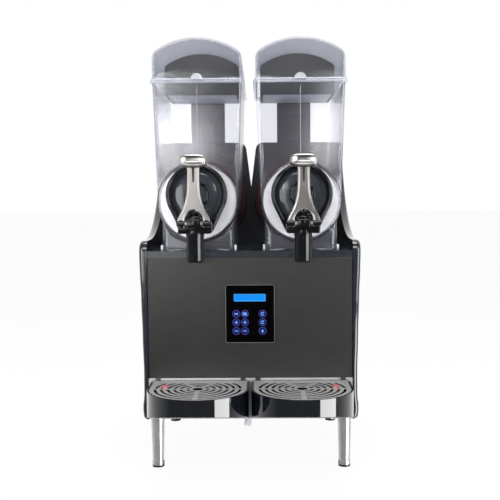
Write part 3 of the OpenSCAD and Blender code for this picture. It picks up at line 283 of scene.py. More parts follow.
# The finish of each material slot, with what the real surface is and how it was worked
finishes = {
    # Steel sheet, zinc dipped: cold grey with a spangle of about 12 mm
    "steel_sheet": varied("galvanisedSheet", ("#8b8e91", "#a5a8ab"), 12, (0.36, 0.5), bump=0.05, detail=1.0,
                          Metallic=1.0),
    # Stainless steel, dark coated and belt-brushed sideways: long low streaks and a wide soft sheen.
    # The real grit lines are 0.1 mm apart, drawn at 0.7 mm so that they show.
    "brushed_front": varied("darkBrushedStainless", ("#4b4a4a", "#575656"), (60, 8, 0.7), (0.34, 0.46),
                            bump=0.06, bumpDepth=0.00004, Metallic=1.0, Anisotropic=0.5),
    # Bright stainless plate, fine brushed: cooler and lighter, with softer streaks
    "bright_plate": varied("brightStainless", ("#b9babb", "#cfd0d1"), (45, 6, 0.8), (0.32, 0.44), bump=0.08,
                           Metallic=0.5),
    "side_gloss": glossAbs("darkGlossAbs", "#181c23", "#1d222a", 0.1, 0.6),
    "deck_gloss": glossAbs("blackGlossAbs", "#22262b", "#282d32", 0.16),
    "column_plastic": satinAbs("greySatinAbs", "#14161a", "#1b1d22"),
    # Silicone rubber, moulded dark red: soft sheen
    "red_rubber": varied("redSilicone", ("#34070a", "#4a0b0f"), 2, (0.35, 0.48), bump=0.1, IOR=1.43),
    # Stainless drum, tumbled and electropolished: bright with a faint mottle
    "drum_steel": varied("polishedDrum", ("#b9b8b6", "#cccbc8"), 14, (0.18, 0.26), Metallic=1.0),
    "motor_paint": powderCoat("greyPowderCoat", "#3c3e42", "#484a4e"),
    # Steel tube, polished along its length: bright with fine long marks
    "leg_steel": varied("polishedSteel", ("#cfccce", "#dbd8da"), (1.2, 1.2, 90), (0.23, 0.26), Metallic=0.75),
    # Nitrile rubber, black: dull, finely pitted
    "black_rubber": varied("nitrileRubber", ("#111112", "#1b1b1c"), 0.9, (0.62, 0.78), bump=0.25, IOR=1.52),
    # Toughened glass, backed black: mirror gloss
    "fascia_glass": varied("blackGlass", ("#010102", "#030304"), 20, (0.03, 0.06), IOR=1.22),
    "display_blue": litPrint("displayBlue", "#0093ff", 0.95),
    "key_black": litPrint("keyBlue", "#0a1870", 0.7),
    # Glass-fibre circuit board under green solder resist
    "circuit_board": varied("solderResist", ("#0b3d1c", "#11522a"), 2.5, (0.25, 0.4), bump=0.1, IOR=1.55),
    "compressor_black": powderCoat("blackEnamel", "#0d0d0e", "#161617"),
    # Aluminium fins, mill finish
    "fin_aluminium": varied("millAluminium", ("#a9abad", "#bfc1c2"), (3, 3, 30), (0.3, 0.42), bump=0.1,
                            Metallic=1.0),
    "fan_plastic": satinAbs("blackSatinAbs", "#111214", "#191a1d"),
    # Copper tube, drawn, slightly tarnished
    "copper_pipe": varied("drawnCopper", ("#8f5233", "#b8704a"), (6, 6, 20), (0.28, 0.42), bump=0.05,
                          Metallic=1.0),
    # Low-density polyethylene, milky
    "drain_plastic": varied("milkyPolyethylene", ("#e6e8f0", "#f3f4fa"), 5, (0.35, 0.45), bump=0.05,
                            IOR=1.51),
    "clear_bowl": clearPolycarbonate("clearPolycarbonate", "#fcfcfe", "#8f96a6", 0.008, 0.3, gloss=0.13),
    "clear_lid": clearPolycarbonate("smokedPolycarbonate", "#f7f7f9", "#a9afbc", 0.004, 0.4, "#f6f8ff",
                                    0.17, 0.15),
    # Acetal, moulded white: clean and slightly waxy
    "auger_white": varied("whiteAcetal", ("#e6e6e4", "#f2f2f0"), 14, (0.25, 0.36), bump=0.04, IOR=1.48),
    # Acetal, moulded black: deep and glossy
    "tap_black": varied("blackAcetal", ("#08090b", "#0d0f11"), 9, (0.10, 0.15), IOR=1.48),
    # Zinc casting, satin nickel plated: warm light grey with a soft sheen
    "satin_lever": varied("satinNickel", ("#a19e9c", "#adaaa8"), 40, (0.27, 0.31), detail=1.0, Metallic=1.0),
    # Spring wire, oiled
    "spring_wire": varied("springWire", ("#77787b", "#8f9093"), 1, (0.2, 0.32), bump=0.05, Metallic=1.0),
    "tray_gloss": glossAbs("trayGlossAbs", "#0a0c11", "#0e1117", 0.045, 1.0),
    # Polypropylene, translucent red
    "float_red": varied("redPolypropylene", ("#b65a5e", "#c56e71"), 3, (0.22, 0.32), bump=0.04, IOR=1.49),
}

# Finishes of pieces that differ from their slot's: the same plastic hazed, a dark painted shade where the
# clear wall is seen edge on, painted or printed
hazyBowl = clearPolycarbonate("hazyPolycarbonate", "#f4f5f9", "#c2c8d6", 0.045, 0.4, "#dfe3f0", 0.1)
clearRim = clearPolycarbonate("clearRim", "#f3f4f8", "#c2c8d6", 0.22, 0.5, "#eef0f8")
clearTab = clearPolycarbonate("clearTab", "#e9ebf0", "#9aa0ad", 0.28, 0.5, "#f6f7fb")
# Painted shade: a near-black gloss standing in for the dark the clear wall refracts when seen edge on
paintedEdgeShade = varied("paintedEdgeShade", ("#15171b", "#1d2025"), 6, (0.1, 0.16), IOR=1.55)
# The tap's face: the ring's black plastic lightened to a dark grey-blue under a clear coat, the lighter
# colour a painted reflection
tapFacePaintedSheen = varied("paintedReflectionAbs", ("#2b2f36", "#33383f"), 12, (0.12, 0.17), **{
    "IOR": 1.53, "Coat Weight": 1.0, "Coat Roughness": 0.08})
frostedPanel = varied("frostedAcrylic", ("#8f95a3", "#a2a8b5"), 6, (0.4, 0.5))
greyInk = varied("greyInk", ("#565656", "#6a6a6a"), 2, (0.4, 0.5))
keyRingLight = litPrint("keyRingLight", "#6a5fb4", 0.75)
signLight = litPrint("blueLight", "#74acff", 1.0)
windowLight = litPrint("paleBlueLight", "#5cc0ff", 0.9)
housingAbs = satinAbs("darkSatinAbs", "#0e1013", "#14161a")
# Stainless drip grid, pressed and bead-blasted: pale and evenly soft. The slots' upright walls are the same
# steel, painted near black as shade
gridSteel = varied("blastedGrid", ("#c4c3c3", "#d1d0cf"), 6, (0.34, 0.44), Metallic=0.6)
slotWallShade = varied("paintedSlotShade", ("#0d0e10", "#16171a"), (1, 1, 3), (0.5, 0.6), IOR=1.4)

grids = ("drip_grid_left", "drip_grid_right")
slotOfNode = {entry["node"]: entry["material_slot"] for entry in frame["record"]["subparts"]}
finishOfNode = {"rear_housing": housingAbs, **{node: gridSteel for node in grids}}
for nodeName, obj in cadNodes.items():
    obj.data.materials.clear()
    obj.data.materials.append(finishOfNode.get(nodeName) or finishes[slotOfNode[nodeName]])
# Painted shade: the grids' upright slot walls take the near-black finish
for nodeName in grids:
    mesh = cadNodes[nodeName].data
    mesh.materials.append(slotWallShade)
    for face in mesh.polygons:
        face.material_index = int(abs(face.normal.z) < 0.5)      # the slots' upright walls
print("finishes made:", len(finishes))


# Floor, world and lamps: a pale sweep and a plain soft studio

studio = {
    "floorColour": "#f7f7f7",
    "floorReach": 30.0,
    "floorGlow": 0.94,        # share of the floor's look that is plain white
    "worldFront": 0.12,       # light from the camera's side of the studio
    "worldBack": 1.0,         # light from the white backdrop
}


# A share of 1 that holds only where the camera sees a thing, straight or through glass or in a reflection
def seenShare(tree, path, share):
    sent = addNode(tree, "ShaderNodeMath", {"operation": "ADD"},
                   {0: path.outputs["Is Camera Ray"], 1: path.outputs["Is Glossy Ray"]})
    through = addNode(tree, "ShaderNodeMath", {"operation": "ADD", "use_clamp": True},
                      {0: sent.outputs[0], 1: path.outputs["Is Transmission Ray"]})
    held = addNode(tree, "ShaderNodeMath", {"operation": "MULTIPLY", 1: share}, {0: through.outputs[0]})
    return held.outputs[0]


def makeWorld(settings):
    world = bpy.data.worlds.new("studio")
    bpy.context.scene.world = world
    tree = emptyTree(world)
    place = addNode(tree, "ShaderNodeTexCoord")
    split = addNode(tree, "ShaderNodeSeparateXYZ", links={"Vector": place.outputs["Generated"]})
    fade = addNode(tree, "ShaderNodeMapRange", {
        "From Min": -0.5, "From Max": 0.8, "To Min": settings["worldFront"], "To Max": settings["worldBack"]},
                   {"Value": split.outputs["Y"]})
    path = addNode(tree, "ShaderNodeLightPath")
    clear = addNode(tree, "ShaderNodeMath", {"operation": "MAXIMUM"},
                    {0: path.outputs["Is Camera Ray"], 1: path.outputs["Is Transmission Ray"]})
    level = addNode(tree, "ShaderNodeMapRange", {"To Max": 1.0},
                    {"Value": clear.outputs[0], "To Min": fade.outputs["Result"]})
    light = addNode(tree, "ShaderNodeBackground", {"Color": (1, 1, 1, 1)}, {"Strength": level.outputs[0]})
    addNode(tree, "ShaderNodeOutputWorld", links={"Surface": light.outputs["Background"]})


def makeFloor(settings):
    bm = bmesh.new()
    bmesh.ops.create_circle(bm, cap_ends=True, segments=96, radius=settings["floorReach"])
    mesh = bpy.data.meshes.new("floor")
    bm.to_mesh(mesh)
    bm.free()
    floor = addObject("floor", mesh)
    material = bpy.data.materials.new("paleFloor")
    tree = emptyTree(material)
    matt = addNode(tree, "ShaderNodeBsdfDiffuse", {"Color": linear(settings["floorColour"])})
    white = addNode(tree, "ShaderNodeEmission", {"Color": (1, 1, 1, 1), "Strength": 1.0})
    path = addNode(tree, "ShaderNodeLightPath")
    share = seenShare(tree, path, settings["floorGlow"])
    blend = addNode(tree, "ShaderNodeMixShader",
                    links={0: share, 1: matt.outputs["BSDF"], 2: white.outputs["Emission"]})
    addNode(tree, "ShaderNodeOutputMaterial", links={"Surface": blend.outputs["Shader"]})
    mesh.materials.append(material)
    floor.visible_glossy = False      # gloss shows the studio's dark end and the low softbox past the floor
    floor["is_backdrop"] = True


# name, place, aimed at, width, height, watts
lamps = (
    ("softboxLeft", (-1.55, frontY - 1.35, 0.85), (0, frontY, 0.45), 0.8, 1.5, 24),
    ("softboxRight", (1.75, frontY - 1.20, 0.75), (0, frontY, 0.55), 1.4, 1.4, 33),
    ("softboxLow", (1.75, frontY - 1.20, -0.40), (0, frontY, -0.2), 1.4, 0.75, 27),
    ("softboxFront", (0.0, frontY - 1.55, 1.75), (0, frontY, 0.5), 1.6, 0.7, 20),
    ("softboxTop", (0.1, frontY + 0.2, 2.3), (0, 0, 0.6), 1.4, 1.0, 26),
    ("stripLeft", (-0.37, frontY - 1.64, 0.77), (-0.14, frontY, 0.66), 0.13, 0.20, 0.75),
    ("stripInner", (-0.235, frontY - 1.64, 0.78), (-0.08, frontY, 0.66), 0.12, 0.22, 0.22),
    ("stripRight", (0.30, frontY - 1.64, 0.78), (0.14, frontY, 0.66), 0.03, 0.22, 0.4),
    ("cardLeft", (-0.38, frontY - 1.64, 0.47), (-0.1, frontY, 0.5), 0.30, 0.38, 0.8),
    ("cardFar", (-0.80, frontY - 1.50, 0.50), (-0.1, frontY, 0.5), 0.46, 0.6, 2.6),
)


def makeLamps(rows):
    for name, place, target, width, height, watts in rows:
        data = bpy.data.lights.new(name, "AREA")
        data.shape = "RECTANGLE"
        data.size, data.size_y, data.energy = width, height, watts
        lamp = addObject(name, data)
        lamp.location = place
        lamp.rotation_euler = (Vector(target) - Vector(place)).to_track_quat("-Z", "Y").to_euler()


makeWorld(studio)
makeFloor(studio)
makeLamps(lamps)
bpy.context.scene.view_settings.view_transform = "Standard"
bpy.context.scene.cycles.transparent_max_bounces = 32      # many clear walls stand behind each other
print("studio set")


# Shape helpers. Their points are in mm, with x from the middle and y counted from the front panel's face.

def at(x, y, z):
    return Vector((x * mm, frontY + y * mm, z * mm))


# An outline in X and Z set at a depth, its middle at x0
def facing(outline, depth, x0=0):
    return [(x0 + x, depth, z) for x, z in outline]


# Quads between two rows of vertices
def bridge(bm, low, high, closed=False):
    for i in range(len(low) if closed else len(low) - 1):
        j = (i + 1) % len(low)
        bm.faces.new((low[i], low[j], high[j], high[i]))


# A skin over loops that have the same number of points
def skin(bm, loops, closed=True, capFirst=False, capLast=False):
    rings = [[bm.verts.new(at(*p)) for p in loop] for loop in loops]
    for low, high in zip(rings, rings[1:]):
        bridge(bm, low, high, closed)
    if capFirst:
        bm.faces.new(rings[0][::-1])
    if capLast:
        bm.faces.new(rings[-1])
    return rings


# The point at an angle on a circle
def around(x, z, radius, turn):
    return x + radius * math.cos(turn), z + radius * math.sin(turn)


# Even points from one towards another, which is left out
def along(first, last, count):
    return [tuple(a + (b - a) * k / count for a, b in zip(first, last)) for k in range(count)]


# Loops at one depth that step from an outline in X and Z to another
def blended(first, last, depth, shares, x0):
    return [facing([(a[0] * (1 - t) + b[0] * t, a[1] * (1 - t) + b[1] * t) for a, b in zip(first, last)],
                   depth, x0) for t in shares]


# An outline in X and Z drawn in to a share of its size, at a depth
def drawnIn(outline, x, z, share, depth):
    return [(x + (a - x) * share, depth, z + (b - z) * share) for a, b in outline]


# Steps round a quarter bend: how far each lies from the one side and from the other
def quarterBend(radius, steps, first=0):
    turns = [math.pi / 2 * k / steps for k in range(first, steps + 1)]
    return [(radius * (1 - math.cos(t)), radius * (1 - math.sin(t))) for t in turns]


# Rows of (inset, depth) from a rounded back edge along a moulding to its rounded front edge
def easedRows(front, back, edge, steps=4, spans=8):
    bend = quarterBend(edge, steps, 1)
    rows = [(inset, back - drop) for inset, drop in bend[::-1]]
    rows += [(0, back - edge + (front + 2 * edge - back) * k / spans) for k in range(spans + 1)]
    return rows + [(inset, front + drop) for inset, drop in bend]


# A round profile of (radius, distance) points turned about an axis through a centre
def turned(bm, profile, axis, centre, steps=48):
    way = {"x": Vector((1, 0, 0)), "y": Vector((0, 1, 0)), "z": Vector((0, 0, 1))}[axis]
    out = Vector((0, 0, 1)) if axis != "z" else Vector((0, 1, 0))
    verts = [bm.verts.new(at(*centre) + (way * reach + out * radius) * mm) for radius, reach in profile]
    edges = [bm.edges.new(pair) for pair in zip(verts, verts[1:])]
    bmesh.ops.spin(bm, geom=verts + edges, cent=at(*centre), axis=way, dvec=(0, 0, 0), angle=2 * math.pi,
                   steps=steps, use_merge=True, use_duplicate=False)


# The closed profile of a plain band between two radii and two distances
def bandProfile(inside, outside, low, high):
    return [(inside, low), (outside, low), (outside, high), (inside, high), (inside, low)]


# A box between two corners with its edges rounded
def roundedBlock(bm, low, high, radius, segments=2):
    size = [(b - a) * mm for a, b in zip(low, high)]
    middle = at(*[(a + b) / 2 for a, b in zip(low, high)])
    place = Matrix.Translation(middle) @ Matrix.Diagonal(size + [1.0])
    made = bmesh.ops.create_cube(bm, size=1.0, matrix=place)
    edges = list({e for v in made["verts"] for e in v.link_edges})
    bmesh.ops.bevel(bm, geom=edges, offset=radius * mm, segments=segments, profile=0.5, affect="EDGES",
                    material=-1)


# A closed outline moved inward by a distance, each point along the middle of its corner
def inward(outline, distance):
    area = sum(a[0] * b[1] - b[0] * a[1] for a, b in zip(outline, outline[1:] + outline[:1]))
    sign = 1 if area > 0 else -1
    moved = []
    for before, here, after in zip(outline[-1:] + outline[:-1], outline, outline[1:] + outline[:1]):
        first = Vector((here[0] - before[0], here[1] - before[1])).normalized()
        second = Vector((after[0] - here[0], after[1] - here[1])).normalized()
        normalA = Vector((-first.y, first.x)) * sign
        normalB = Vector((-second.y, second.x)) * sign
        middle = (normalA + normalB).normalized()
        reach = distance / max(middle.dot(normalA), 0.35)
        moved.append((here[0] + middle.x * reach, here[1] + middle.y * reach))
    return moved


def roundedRectangle(x0, z0, x1, z1, radius, steps=4):
    corners = ((x1 - radius, z1 - radius, 0), (x0 + radius, z1 - radius, 90),
               (x0 + radius, z0 + radius, 180), (x1 - radius, z0 + radius, 270))
    return [around(cx, cz, radius, math.radians(start + 90 * k / steps))
            for cx, cz, start in corners for k in range(steps + 1)]


# Turns a bmesh into a piece that rides on a body, takes a slot's finish and may stand for CAD nodes
def finishPiece(name, bm, body, slot, replaces=(), finish=None, wall=0.0, edge=0.0, sharp=35):
    bmesh.ops.remove_doubles(bm, verts=bm.verts, dist=0.00001)
    bmesh.ops.recalc_face_normals(bm, faces=bm.faces)
    mesh = bpy.data.meshes.new(name)
    bm.to_mesh(mesh)
    bm.free()
    mesh.polygons.foreach_set("use_smooth", [True] * len(mesh.polygons))
    mesh.set_sharp_from_angle(angle=math.radians(sharp))
    piece = addObject(name, mesh)
    if wall:
        thick = piece.modifiers.new("wall", "SOLIDIFY")
        thick.thickness, thick.offset = wall * mm, -1
        evenShading(piece)
    if edge:
        softenEdges(piece, edge)
    mesh.materials.append(finish or finishes[slot])
    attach(piece, body)
    if replaces:
        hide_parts(*replaces)
    return piece


def softenEdges(piece, width, angle=40, segments=2):
    rounding = piece.modifiers.new("edges", "BEVEL")
    rounding.width, rounding.segments, rounding.limit_method = width * mm, segments, "ANGLE"
    rounding.angle_limit = math.radians(angle)
    rounding.harden_normals = False
    evenShading(piece)


# Large flat faces keep their own direction, so that reflections on them stay straight
def evenShading(piece):
    smooth = piece.modifiers.new("shading", "WEIGHTED_NORMAL")
    smooth.keep_sharp = True
    smooth.weight = 80


def corner(node):
    low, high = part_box(node)
    return [[c.x / mm, (c.y - frontY) / mm, c.z / mm] for c in (low, high)]


# The middle of what shows of each thing that has an image point
shownPlaces = {}

# Sizes read from the frame
bowlLow, bowlHigh = corner("bowl_right")
bowlX = (bowlLow[0] + bowlHigh[0]) / 2
deckZ = corner("top_deck")[1][2]
gasketBox = corner("bowl_gaskets")
axisZ = (gasketBox[0][2] + gasketBox[1][2]) / 2
rimZ = bowlHigh[2]
lidBox = corner("lid_right")
lidZ, lidTop = lidBox[0][2], lidBox[1][2]
nozzleZ = corner("tap_body_right")[0][2]
boxLow, boxHigh = corner("light_box_right")
bodyOfNode = {node: body for body, nodes in frame["record"]["behaviour"]["bodies"].items() for node in nodes}


# Bowls: one clear moulding with a round lower part, upright walls that lean out, a rim and a skirt

bowl = {
    "wall": 3.5,
    "lowerRadius": 79.0,
    "topHalf": 87.5,          # half the width under the rim
    "frontWall": 18.0,
    "bulgeFront": 6.0,        # the round lower part stands out to here
    "bulgeEdge": 6.0,
    "cornerEdge": 6.0,
    "bandIn": 1.4,            # the dark edge of the round part: inside and outside its radius, and its depth
    "bandOut": 0.3,
    "bandDepth": 3.0,
    "rimHeight": 5.0,
    "rimReach": 5.0,
    "rimCorner": 9.0,
    "seamHalf": 0.45,
    "seamLift": 0.3,
    "seamFoot": 3.0,          # the seam runs from here over the round part
    "seamHead": 6.0,          # to here under the rim
    "openingRadius": 77.0,    # the hole at the back, for the drum
    "roundSteps": 48,
    "wallSteps": 10,
}


def bowlPieces(side, x0):
    s = bowl
    body = f"bowl_unit_{side}"
    n, m = s["wallSteps"], s["roundSteps"]
    radius, edge = s["lowerRadius"], s["cornerEdge"]
    back = bowlHigh[1] - s["rimReach"]
    top = rimZ - s["rimHeight"]

    # Points from the right top corner down, round the bottom and up to the left top corner
    def section(inset):
        right = [(x - inset * min(1, (n - k) / 3), z)
                 for k, (x, z) in enumerate(along((s["topHalf"], top), (radius, axisZ), n))]
        round_ = [around(0, axisZ, radius, -math.pi * k / m) for k in range(m + 1)]
        return right + round_ + [(-x, z) for x, z in right[::-1]]

    # The flat wall between the section's upper part and a circle's upper half
    def flatWall(bm, depth, hole):
        upper = section(edge)
        cornerX = upper[0][0]
        outer = ([(radius, axisZ)] + upper[:n][::-1] + along((cornerX, top), (-cornerX, top), m)[1:]
                 + upper[-n:][::-1] + [(-radius, axisZ)])
        count = len(outer) - 1
        inner = [around(0, axisZ, hole, math.pi * k / count) for k in range(count + 1)]
        skin(bm, blended(outer, inner, depth, (0, 0.3, 0.65, 1), x0), closed=False)
        return count

    bm = bmesh.new()
    skin(bm, [facing(section(inset), y, x0) for inset, y in easedRows(s["frontWall"], back, edge)],
         closed=False)
    count = flatWall(bm, s["frontWall"], radius)
    flatWall(bm, back, s["openingRadius"])

    # The round part's front: its upper half uses the flat wall's points, its lower half the section's
    turns = [math.pi * k / count for k in range(count)] + [math.pi + math.pi * k / m for k in range(m)]
    profile = [(radius, s["frontWall"])]
    profile += [(radius - inset, s["bulgeFront"] + drop) for inset, drop in quarterBend(s["bulgeEdge"], 4)]
    profile += [(radius * share, s["bulgeFront"]) for share in (0.8, 0.5, 0.2)]
    rings = skin(bm, [facing([around(x0, axisZ, r, t) for t in turns], y) for r, y in profile])
    bm.faces.new(rings[-1])
    shell = finishPiece(f"bowlShell_{side}", bm, body, "clear_bowl", [f"bowl_{side}"], wall=s["wall"],
                        sharp=50)

    # The round part's edge shows dark where the wall is seen along its depth: a near-black band carries that
    # look as painted shade
    bm = bmesh.new()
    front = s["bulgeFront"] + s["bulgeEdge"] - 0.5
    turned(bm, bandProfile(radius - s["bandIn"], radius + s["bandOut"], front, front + s["bandDepth"]),
           "y", (x0, 0, axisZ), 96)
    finishPiece(f"bowlEdgeShade_{side}", bm, body, "clear_bowl", finish=paintedEdgeShade)

    # Rim: a flange round the open top, with a rounded outer edge
    bm = bmesh.new()
    outerRim = roundedRectangle(x0 - s["topHalf"] - s["rimReach"], s["frontWall"] - s["rimReach"],
                                x0 + s["topHalf"] + s["rimReach"], bowlHigh[1], s["rimCorner"])
    innerRim = inward(outerRim, s["rimReach"] + s["wall"])
    half = s["rimHeight"] / 2
    ring = []
    for k in range(9):
        turn = -math.pi / 2 + math.pi * k / 8
        ring.append([(x, y, rimZ - half + half * math.sin(turn))
                     for x, y in inward(outerRim, half * (1 - math.cos(turn)))])
    ring += [[(x, y, z) for x, y in innerRim] for z in (rimZ, top + 0.1)]
    skin(bm, ring + ring[:1])
    finishPiece(f"bowlRim_{side}", bm, body, "clear_bowl", finish=clearRim, sharp=50)

    # The moulding's joint line runs down the middle of the front
    middle = placeOn(shell, f"{side}Seam")
    shownPlaces[f"{side}Seam"] = at(*middle)
    bm = bmesh.new()
    roundedBlock(bm, (middle.x - s["seamHalf"], middle.y - s["seamLift"], axisZ + radius + s["seamFoot"]),
                 (middle.x + s["seamHalf"], middle.y + s["seamLift"], top - s["seamHead"]), 0.25)
    finishPiece(f"bowlSeam_{side}", bm, body, "clear_bowl", finish=clearRim)


# Lids: a clear arched cover with a lip, a notch at the back and a ribbed half-round tab

lid = {
    "wall": 3.0,
    "front": 16.0,
    "edge": 5.0,
    "shoulderRadius": 20.0,
    "archRadius": 142.5,
    "tabRadius": 12.0,
    "ribDepth": 0.9,
    "lipReach": 2.5,
    "lipHeight": 3.5,
    "lipCorner": 7.0,
    "notchHalf": 31.0,
    "notchTop": 801.5,
}


# Right bottom corner, up the side, round the shoulder and over the arch to the left
def archOutline(inset):
    half = bowl["topHalf"]
    archCentre = lidTop - lid["archRadius"]
    shoulderX = half - lid["shoulderRadius"]
    shoulderUp = math.sqrt((lid["archRadius"] - lid["shoulderRadius"]) ** 2 - shoulderX ** 2)
    turnEnd = math.atan2(shoulderUp, shoulderX)
    points = along((half - inset, lidZ), (half - inset, archCentre + shoulderUp), 4)
    points += [around(shoulderX, archCentre + shoulderUp, lid["shoulderRadius"] - inset, turnEnd * k / 8)
               for k in range(9)]
    points += [around(0, archCentre, lid["archRadius"] - inset, turnEnd + (math.pi / 2 - turnEnd) * k / 12)
               for k in range(1, 13)]
    return points + [(-x, z) for x, z in points[:-1][::-1]]


def lidPieces(side, x0):
    s = lid
    body = f"lid_unit_{side}"
    front, back, edge = s["front"], lidBox[1][1], s["edge"]
    bm = bmesh.new()
    skin(bm, [facing(archOutline(inset), y, x0) for inset, y in easedRows(front, back, edge)], closed=False)
    outline = archOutline(edge)
    count = len(outline) - 1
    half, notch, notchTop = outline[0][0], s["notchHalf"], s["notchTop"]
    floor = along((half, lidZ), (-half, lidZ), count) + [(-half, lidZ)]
    opening = along((notch, lidZ), (notch, notchTop), 12)
    opening = (opening + along((notch, notchTop), (-notch, notchTop), count - 24) + [(-notch, notchTop)]
               + [(-x, z) for x, z in opening[::-1]])
    for target, depth in ((floor, front), (opening, back)):
        skin(bm, blended(outline, target, depth, (0, 0.25, 0.6, 1), x0), closed=False)
    shell = finishPiece(f"lidShell_{side}", bm, body, "clear_lid", [f"lid_{side}"], wall=s["wall"], sharp=50)

    # The lip that lies on the bowl's rim
    bm = bmesh.new()
    reach = s["lipReach"]
    outer = roundedRectangle(x0 - bowl["topHalf"] - reach, front - reach, x0 + bowl["topHalf"] + reach,
                             back + reach - 1, s["lipCorner"])
    inner = inward(outer, reach + 0.2)
    low, high = lidZ + 0.1, lidZ + s["lipHeight"]
    rows = [(inner, low), (outer, low), (outer, high - 1.2), (inward(outer, 0.5), high - 0.3),
            (inward(outer, 1.2), high), (inner, high), (inner, low)]
    skin(bm, [[(x, y, z) for x, y in row] for row, z in rows])
    finishPiece(f"lidLip_{side}", bm, body, "clear_lid", finish=clearRim, sharp=30)

    # The tab's ribs catch the light
    bm = bmesh.new()
    middle = placeOn(shell, f"{side}Tab").x
    tip = lidBox[0][1]
    ribs = [around(0, 0, s["tabRadius"] - (s["ribDepth"] if k % 3 == 1 else 0), math.pi * k / 24)
            for k in range(25)]
    rows = [(1.0, front + 0.5), (1.0, tip + 1.5), (0.95, tip + 0.4), (0.85, tip), (0.55, tip + 1.2)]
    skin(bm, [[(middle + x * share, y, lidZ + 0.1 + z * share) for x, z in ribs] for share, y in rows],
         capFirst=True, capLast=True)
    shownPlaces[f"{side}Tab"] = at(middle, tip, lidZ + s["tabRadius"] / 2)
    finishPiece(f"lidTab_{side}", bm, body, "clear_lid", finish=clearTab, sharp=20)


# Taps: a teardrop ring with a rounded front, a toothed hub, the valve block, the nozzle and the pivot

tap = {
    "centreZ": 545.0,         # the drum's axis lies 14 mm lower
    "ringRadius": 59.0,
    "ringStart": -0.535,      # angle at which the round part of the teardrop runs into its straight sides
    "ringWall": 8.5,
    "ringFront": -30.0,
    "ringEase": 7.0,          # depth of the ring's rounded front
    "ringBack": 6.0,
    "floor": -9.0,
    "hubRadius": 26.0,
    "hubFront": -17.0,
    "hubTeeth": 12,
    "toothDepth": 2.2,
    "blockHalf": 31.0,
    "blockLow": 472.0,
    "blockHigh": 505.0,
    "blockFront": -81.0,
    "blockStep": 9.0,         # the block's top lies under the guide's
    "guideHalf": 17.0,
    "guideHeight": 12.0,
    "bossHalf": 11.6,
    "bossReach": 6.0,         # the boss stands out in front of the pivot
    "bossHeight": 16.0,
    "nozzleAxis": -65.0,
    "nozzleRadius": 16.5,
    "boreRadius": 12.0,
    "pivotY": -90.0,
    "pivotZ": 491.0,
    "pivotReach": 32.0,
    "pivotRadius": 4.0,
}


